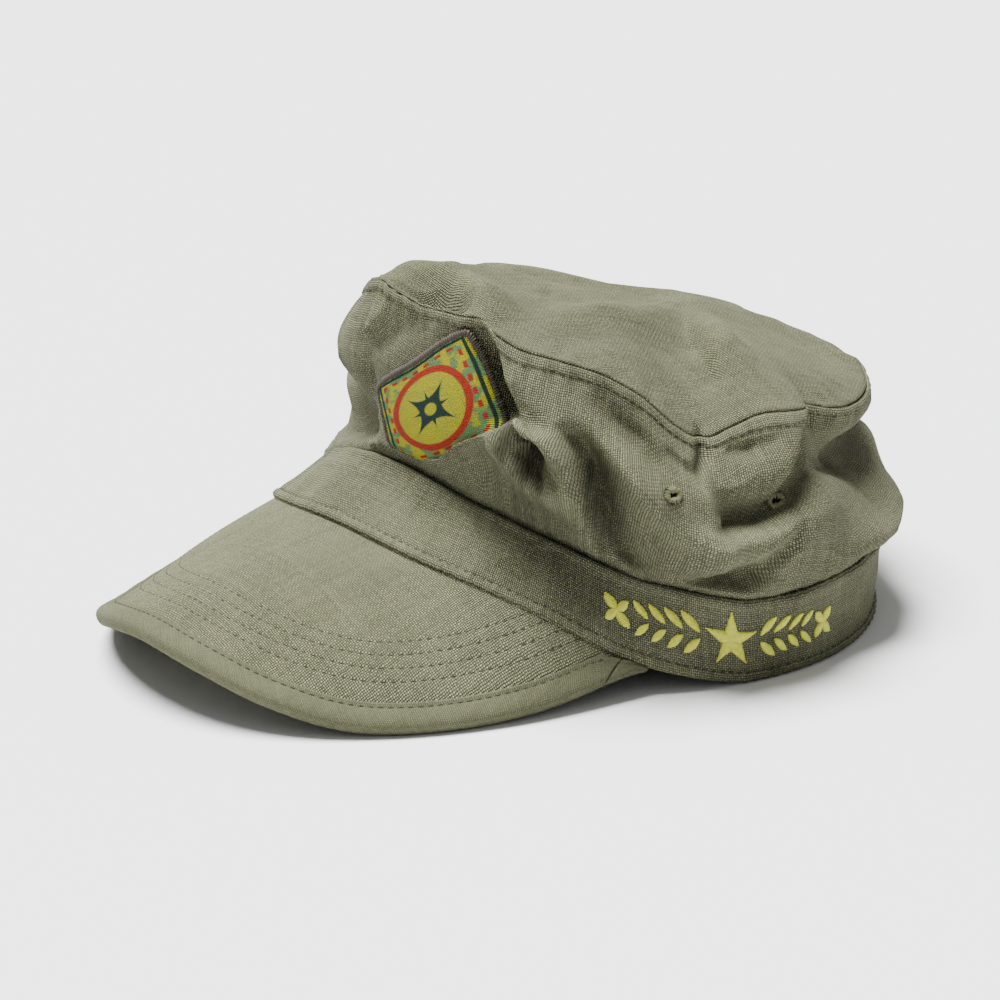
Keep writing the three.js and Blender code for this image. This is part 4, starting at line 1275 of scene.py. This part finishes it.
# Sewn eyelets on both sides of the crown
def build_eyelet(side, angle, rise):
    place = np.array([angle]), np.array([rise])
    centre = wall_surface(*place)[0]
    face = surface_normal(wall_surface, *place, 1.0, 0.02)[0]
    across = unit(np.cross(UP, face))
    upward = np.cross(face, across)
    rng = np.random.default_rng(int(abs(angle)))
    count = EYELET_THREADS
    turn = np.linspace(0, 2 * np.pi, count, endpoint=False)[:, None]
    ray = np.cos(turn) * across + np.sin(turn) * upward * EYELET_TALL
    faces_out = np.tile(face, (count, 1))
    middles = centre + ray * EYELET_RADIUS + face * 0.75 + rng.normal(0, 0.08, (count, 3))
    half = rng.uniform(0.8, 1.5, count)
    thing = thread_bits(
        f"eyelet_{side}_thread", middles, unit(ray), faces_out, half, STITCH_RADIUS, eyelet_thread, bend=0.6,
    )
    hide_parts(f"eyelet_{side}")
    middles = centre + ray * EYELET_RADIUS * 1.5 + face * 0.25
    half = rng.uniform(0.4, 0.7, count)
    ends = thread_bits(
        f"eyelet_{side}_ends", middles, unit(ray), faces_out, half, 0.3, stitch_thread, bend=0.2,
    )
    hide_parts(f"eyelet_{side}")
    # A dark dish fills the hole: painted shade in place of the shaded inside of the cap
    rim = centre + ray * EYELET_HOLE + face * 0.35
    points = np.concatenate([rim, rim - face * 0.2, [centre + face * 0.15, centre]])
    faces = []
    for j in range(count):
        k = (j + 1) % count
        faces += [(2 * count, j, k), (2 * count + 1, count + k, count + j), (j, count + j, count + k, k)]
    hole = mesh_object(f"eyelet_{side}_hole", points, faces, None, hole_painted_shade)
    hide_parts(f"eyelet_{side}")


# Embroidery: a star between leaf sprays, with a rosette at each end
def leaf_width(t):
    return np.clip(1 - t * t, 0, 1) ** 0.75


def ray_width(t):
    return np.clip(np.minimum((t + 1.15) / 0.55, (1.05 - t) / 1.45), 0, 1)


def badge_motifs():
    """Rows of the motifs: middle from the star in millimetres along and up the band, heading in degrees,
    half length, half width and profile."""
    rows = []
    for k in range(5):
        heading = 90 + 72 * k
        x, y = math.cos(math.radians(heading)), math.sin(math.radians(heading))
        rows.append((3.6 * x, 3.6 * y, heading, 3.5, 1.75, ray_width))
    for side in (-1, 1):
        for k, reach in enumerate((10.6, 15.0, 19.4, 23.8)):
            size = 1 - 0.06 * k
            for up in (-1, 1):
                heading = math.degrees(math.atan2(up * 0.95, side))
                rows.append((side * reach, up * 3.0 * size, heading, 3.0 * size, 1.15 * size, leaf_width))
        for k in range(4):
            heading = 45 + 90 * k
            x, y = math.cos(math.radians(heading)), math.sin(math.radians(heading))
            rows.append((side * 30.5 + 2.3 * x, 2.3 * y, heading, 2.2, 1.3, leaf_width))
    return rows


def build_embroidery():
    us = []
    vs = []
    headings = []
    halves = []
    rng = np.random.default_rng(12)
    for row in badge_motifs():
        x, y, heading = BADGE_SCALE * row[0], BADGE_SCALE * row[1], row[2]
        half_length, half_width, profile = BADGE_SCALE * row[3], BADGE_SCALE * row[4], row[5]
        count = int(2 * half_length / SATIN_PITCH) + 1
        t = (np.arange(count) + 0.5) / count * 2 - 1
        a = math.radians(heading)
        us.append(x + half_length * t * math.cos(a) + rng.normal(0, 0.03, count))
        vs.append(y + half_length * t * math.sin(a) + rng.normal(0, 0.03, count))
        headings.append(np.full(count, a + math.pi / 2))
        halves.append(np.maximum(0.25, half_width * profile(t)) + rng.uniform(-0.06, 0.06, count))
    u, v, heading, half = (np.concatenate(part) for part in (us, vs, headings, halves))
    angle = BADGE_ANGLE + u / BAND_PER_DEGREE
    rise = BADGE_RISE + v / BAND_HEIGHT
    middles = band_surface(angle, rise)
    face = surface_normal(band_surface, angle, rise, 1.0, 0.05)
    sideways = unit(band_surface(angle + 1, rise) - band_surface(angle - 1, rise))
    upward = np.cross(face, sideways)
    along = unit(sideways * np.cos(heading)[:, None] + upward * np.sin(heading)[:, None])
    middles = middles + face * 0.5
    thing = thread_bits(
        "band_embroidery", middles, along, face, half + 0.1, SATIN_RADIUS, lime_thread, bend=0.6,
    )
    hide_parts("band")


build_wall()
build_top()
build_band()
build_cloth_stitches()
build_peak()
build_peak_stitches()
build_binding()
build_binding_stitches()
build_patch()
build_patch_border()
for eyelet in EYELETS:
    build_eyelet(*eyelet)
build_embroidery()


# Stage and light, with the floor's half size in metres and the key light's softness in degrees
FLOOR_HALF = 4.0
FLOOR_COLOUR = (0.78, 0.78, 0.78, 1)
WORLD_STRENGTH = 0.4
KEY_PLACE = (-0.5, -0.12, 1.5)
KEY_SOFTNESS = 34
KEY_POWER = 14.2


def build_stage():
    mesh = bpy.data.meshes.new("floor")
    ring = ((-1, -1), (1, -1), (1, 1), (-1, 1))
    mesh.from_pydata([(x * FLOOR_HALF, y * FLOOR_HALF, 0) for x, y in ring], [], [(0, 1, 2, 3)])
    floor = bpy.data.objects.new("floor", mesh)
    bpy.context.scene.collection.objects.link(floor)
    material = bpy.data.materials.new("pale_floor")
    material.use_nodes = True
    shader = material.node_tree.nodes["Principled BSDF"]
    shader.inputs["Base Color"].default_value = FLOOR_COLOUR
    shader.inputs["Roughness"].default_value = 0.9
    mesh.materials.append(material)
    floor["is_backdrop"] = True


def sun_light(name, place, softness, power):
    """Even soft light that comes from a place, with its softness in degrees."""
    light = bpy.data.lights.new(name, "SUN")
    light.energy = power
    light.angle = math.radians(softness)
    thing = bpy.data.objects.new(name, light)
    thing.rotation_euler = Vector(place).to_track_quat("Z", "Y").to_euler()
    bpy.context.scene.collection.objects.link(thing)


def build_light():
    world = bpy.data.worlds.new("studio")
    world.use_nodes = True
    world.node_tree.nodes["Background"].inputs["Color"].default_value = (1, 1, 1, 1)
    world.node_tree.nodes["Background"].inputs["Strength"].default_value = WORLD_STRENGTH
    bpy.context.scene.world = world
    sun_light("key", KEY_PLACE, KEY_SOFTNESS, KEY_POWER)


# Camera, measured on the photo: degrees and millimetres from the cap's own middle
CAMERA_AZIMUTH = 51.8
CAMERA_ELEVATION = 19.4
CAMERA_DISTANCE = 1300.5
CAMERA_TARGET = np.array([46.1, -67.9, 54.0])
CAMERA_LENS = 158.98


def build_camera():
    data = bpy.data.cameras.new("camera")
    data.lens = CAMERA_LENS
    data.sensor_width = 36
    data.clip_start = 0.05
    camera = bpy.data.objects.new("camera", data)
    a = math.radians(CAMERA_AZIMUTH)
    e = math.radians(CAMERA_ELEVATION)
    back = Vector((math.sin(a) * math.cos(e), -math.cos(a) * math.cos(e), math.sin(e)))
    target = Vector(((CAMERA_TARGET + SHIFT) * MM).tolist())
    camera.location = target + back * CAMERA_DISTANCE * MM
    camera.rotation_euler = back.to_track_quat("Z", "Y").to_euler()
    bpy.context.scene.collection.objects.link(camera)
    bpy.context.scene.camera = camera


build_stage()
build_light()
build_camera()


def corners(box):
    return [list(map(float, corner)) for corner in box]


{"cad": corners(CAD_BOX), "visual": corners(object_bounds())}
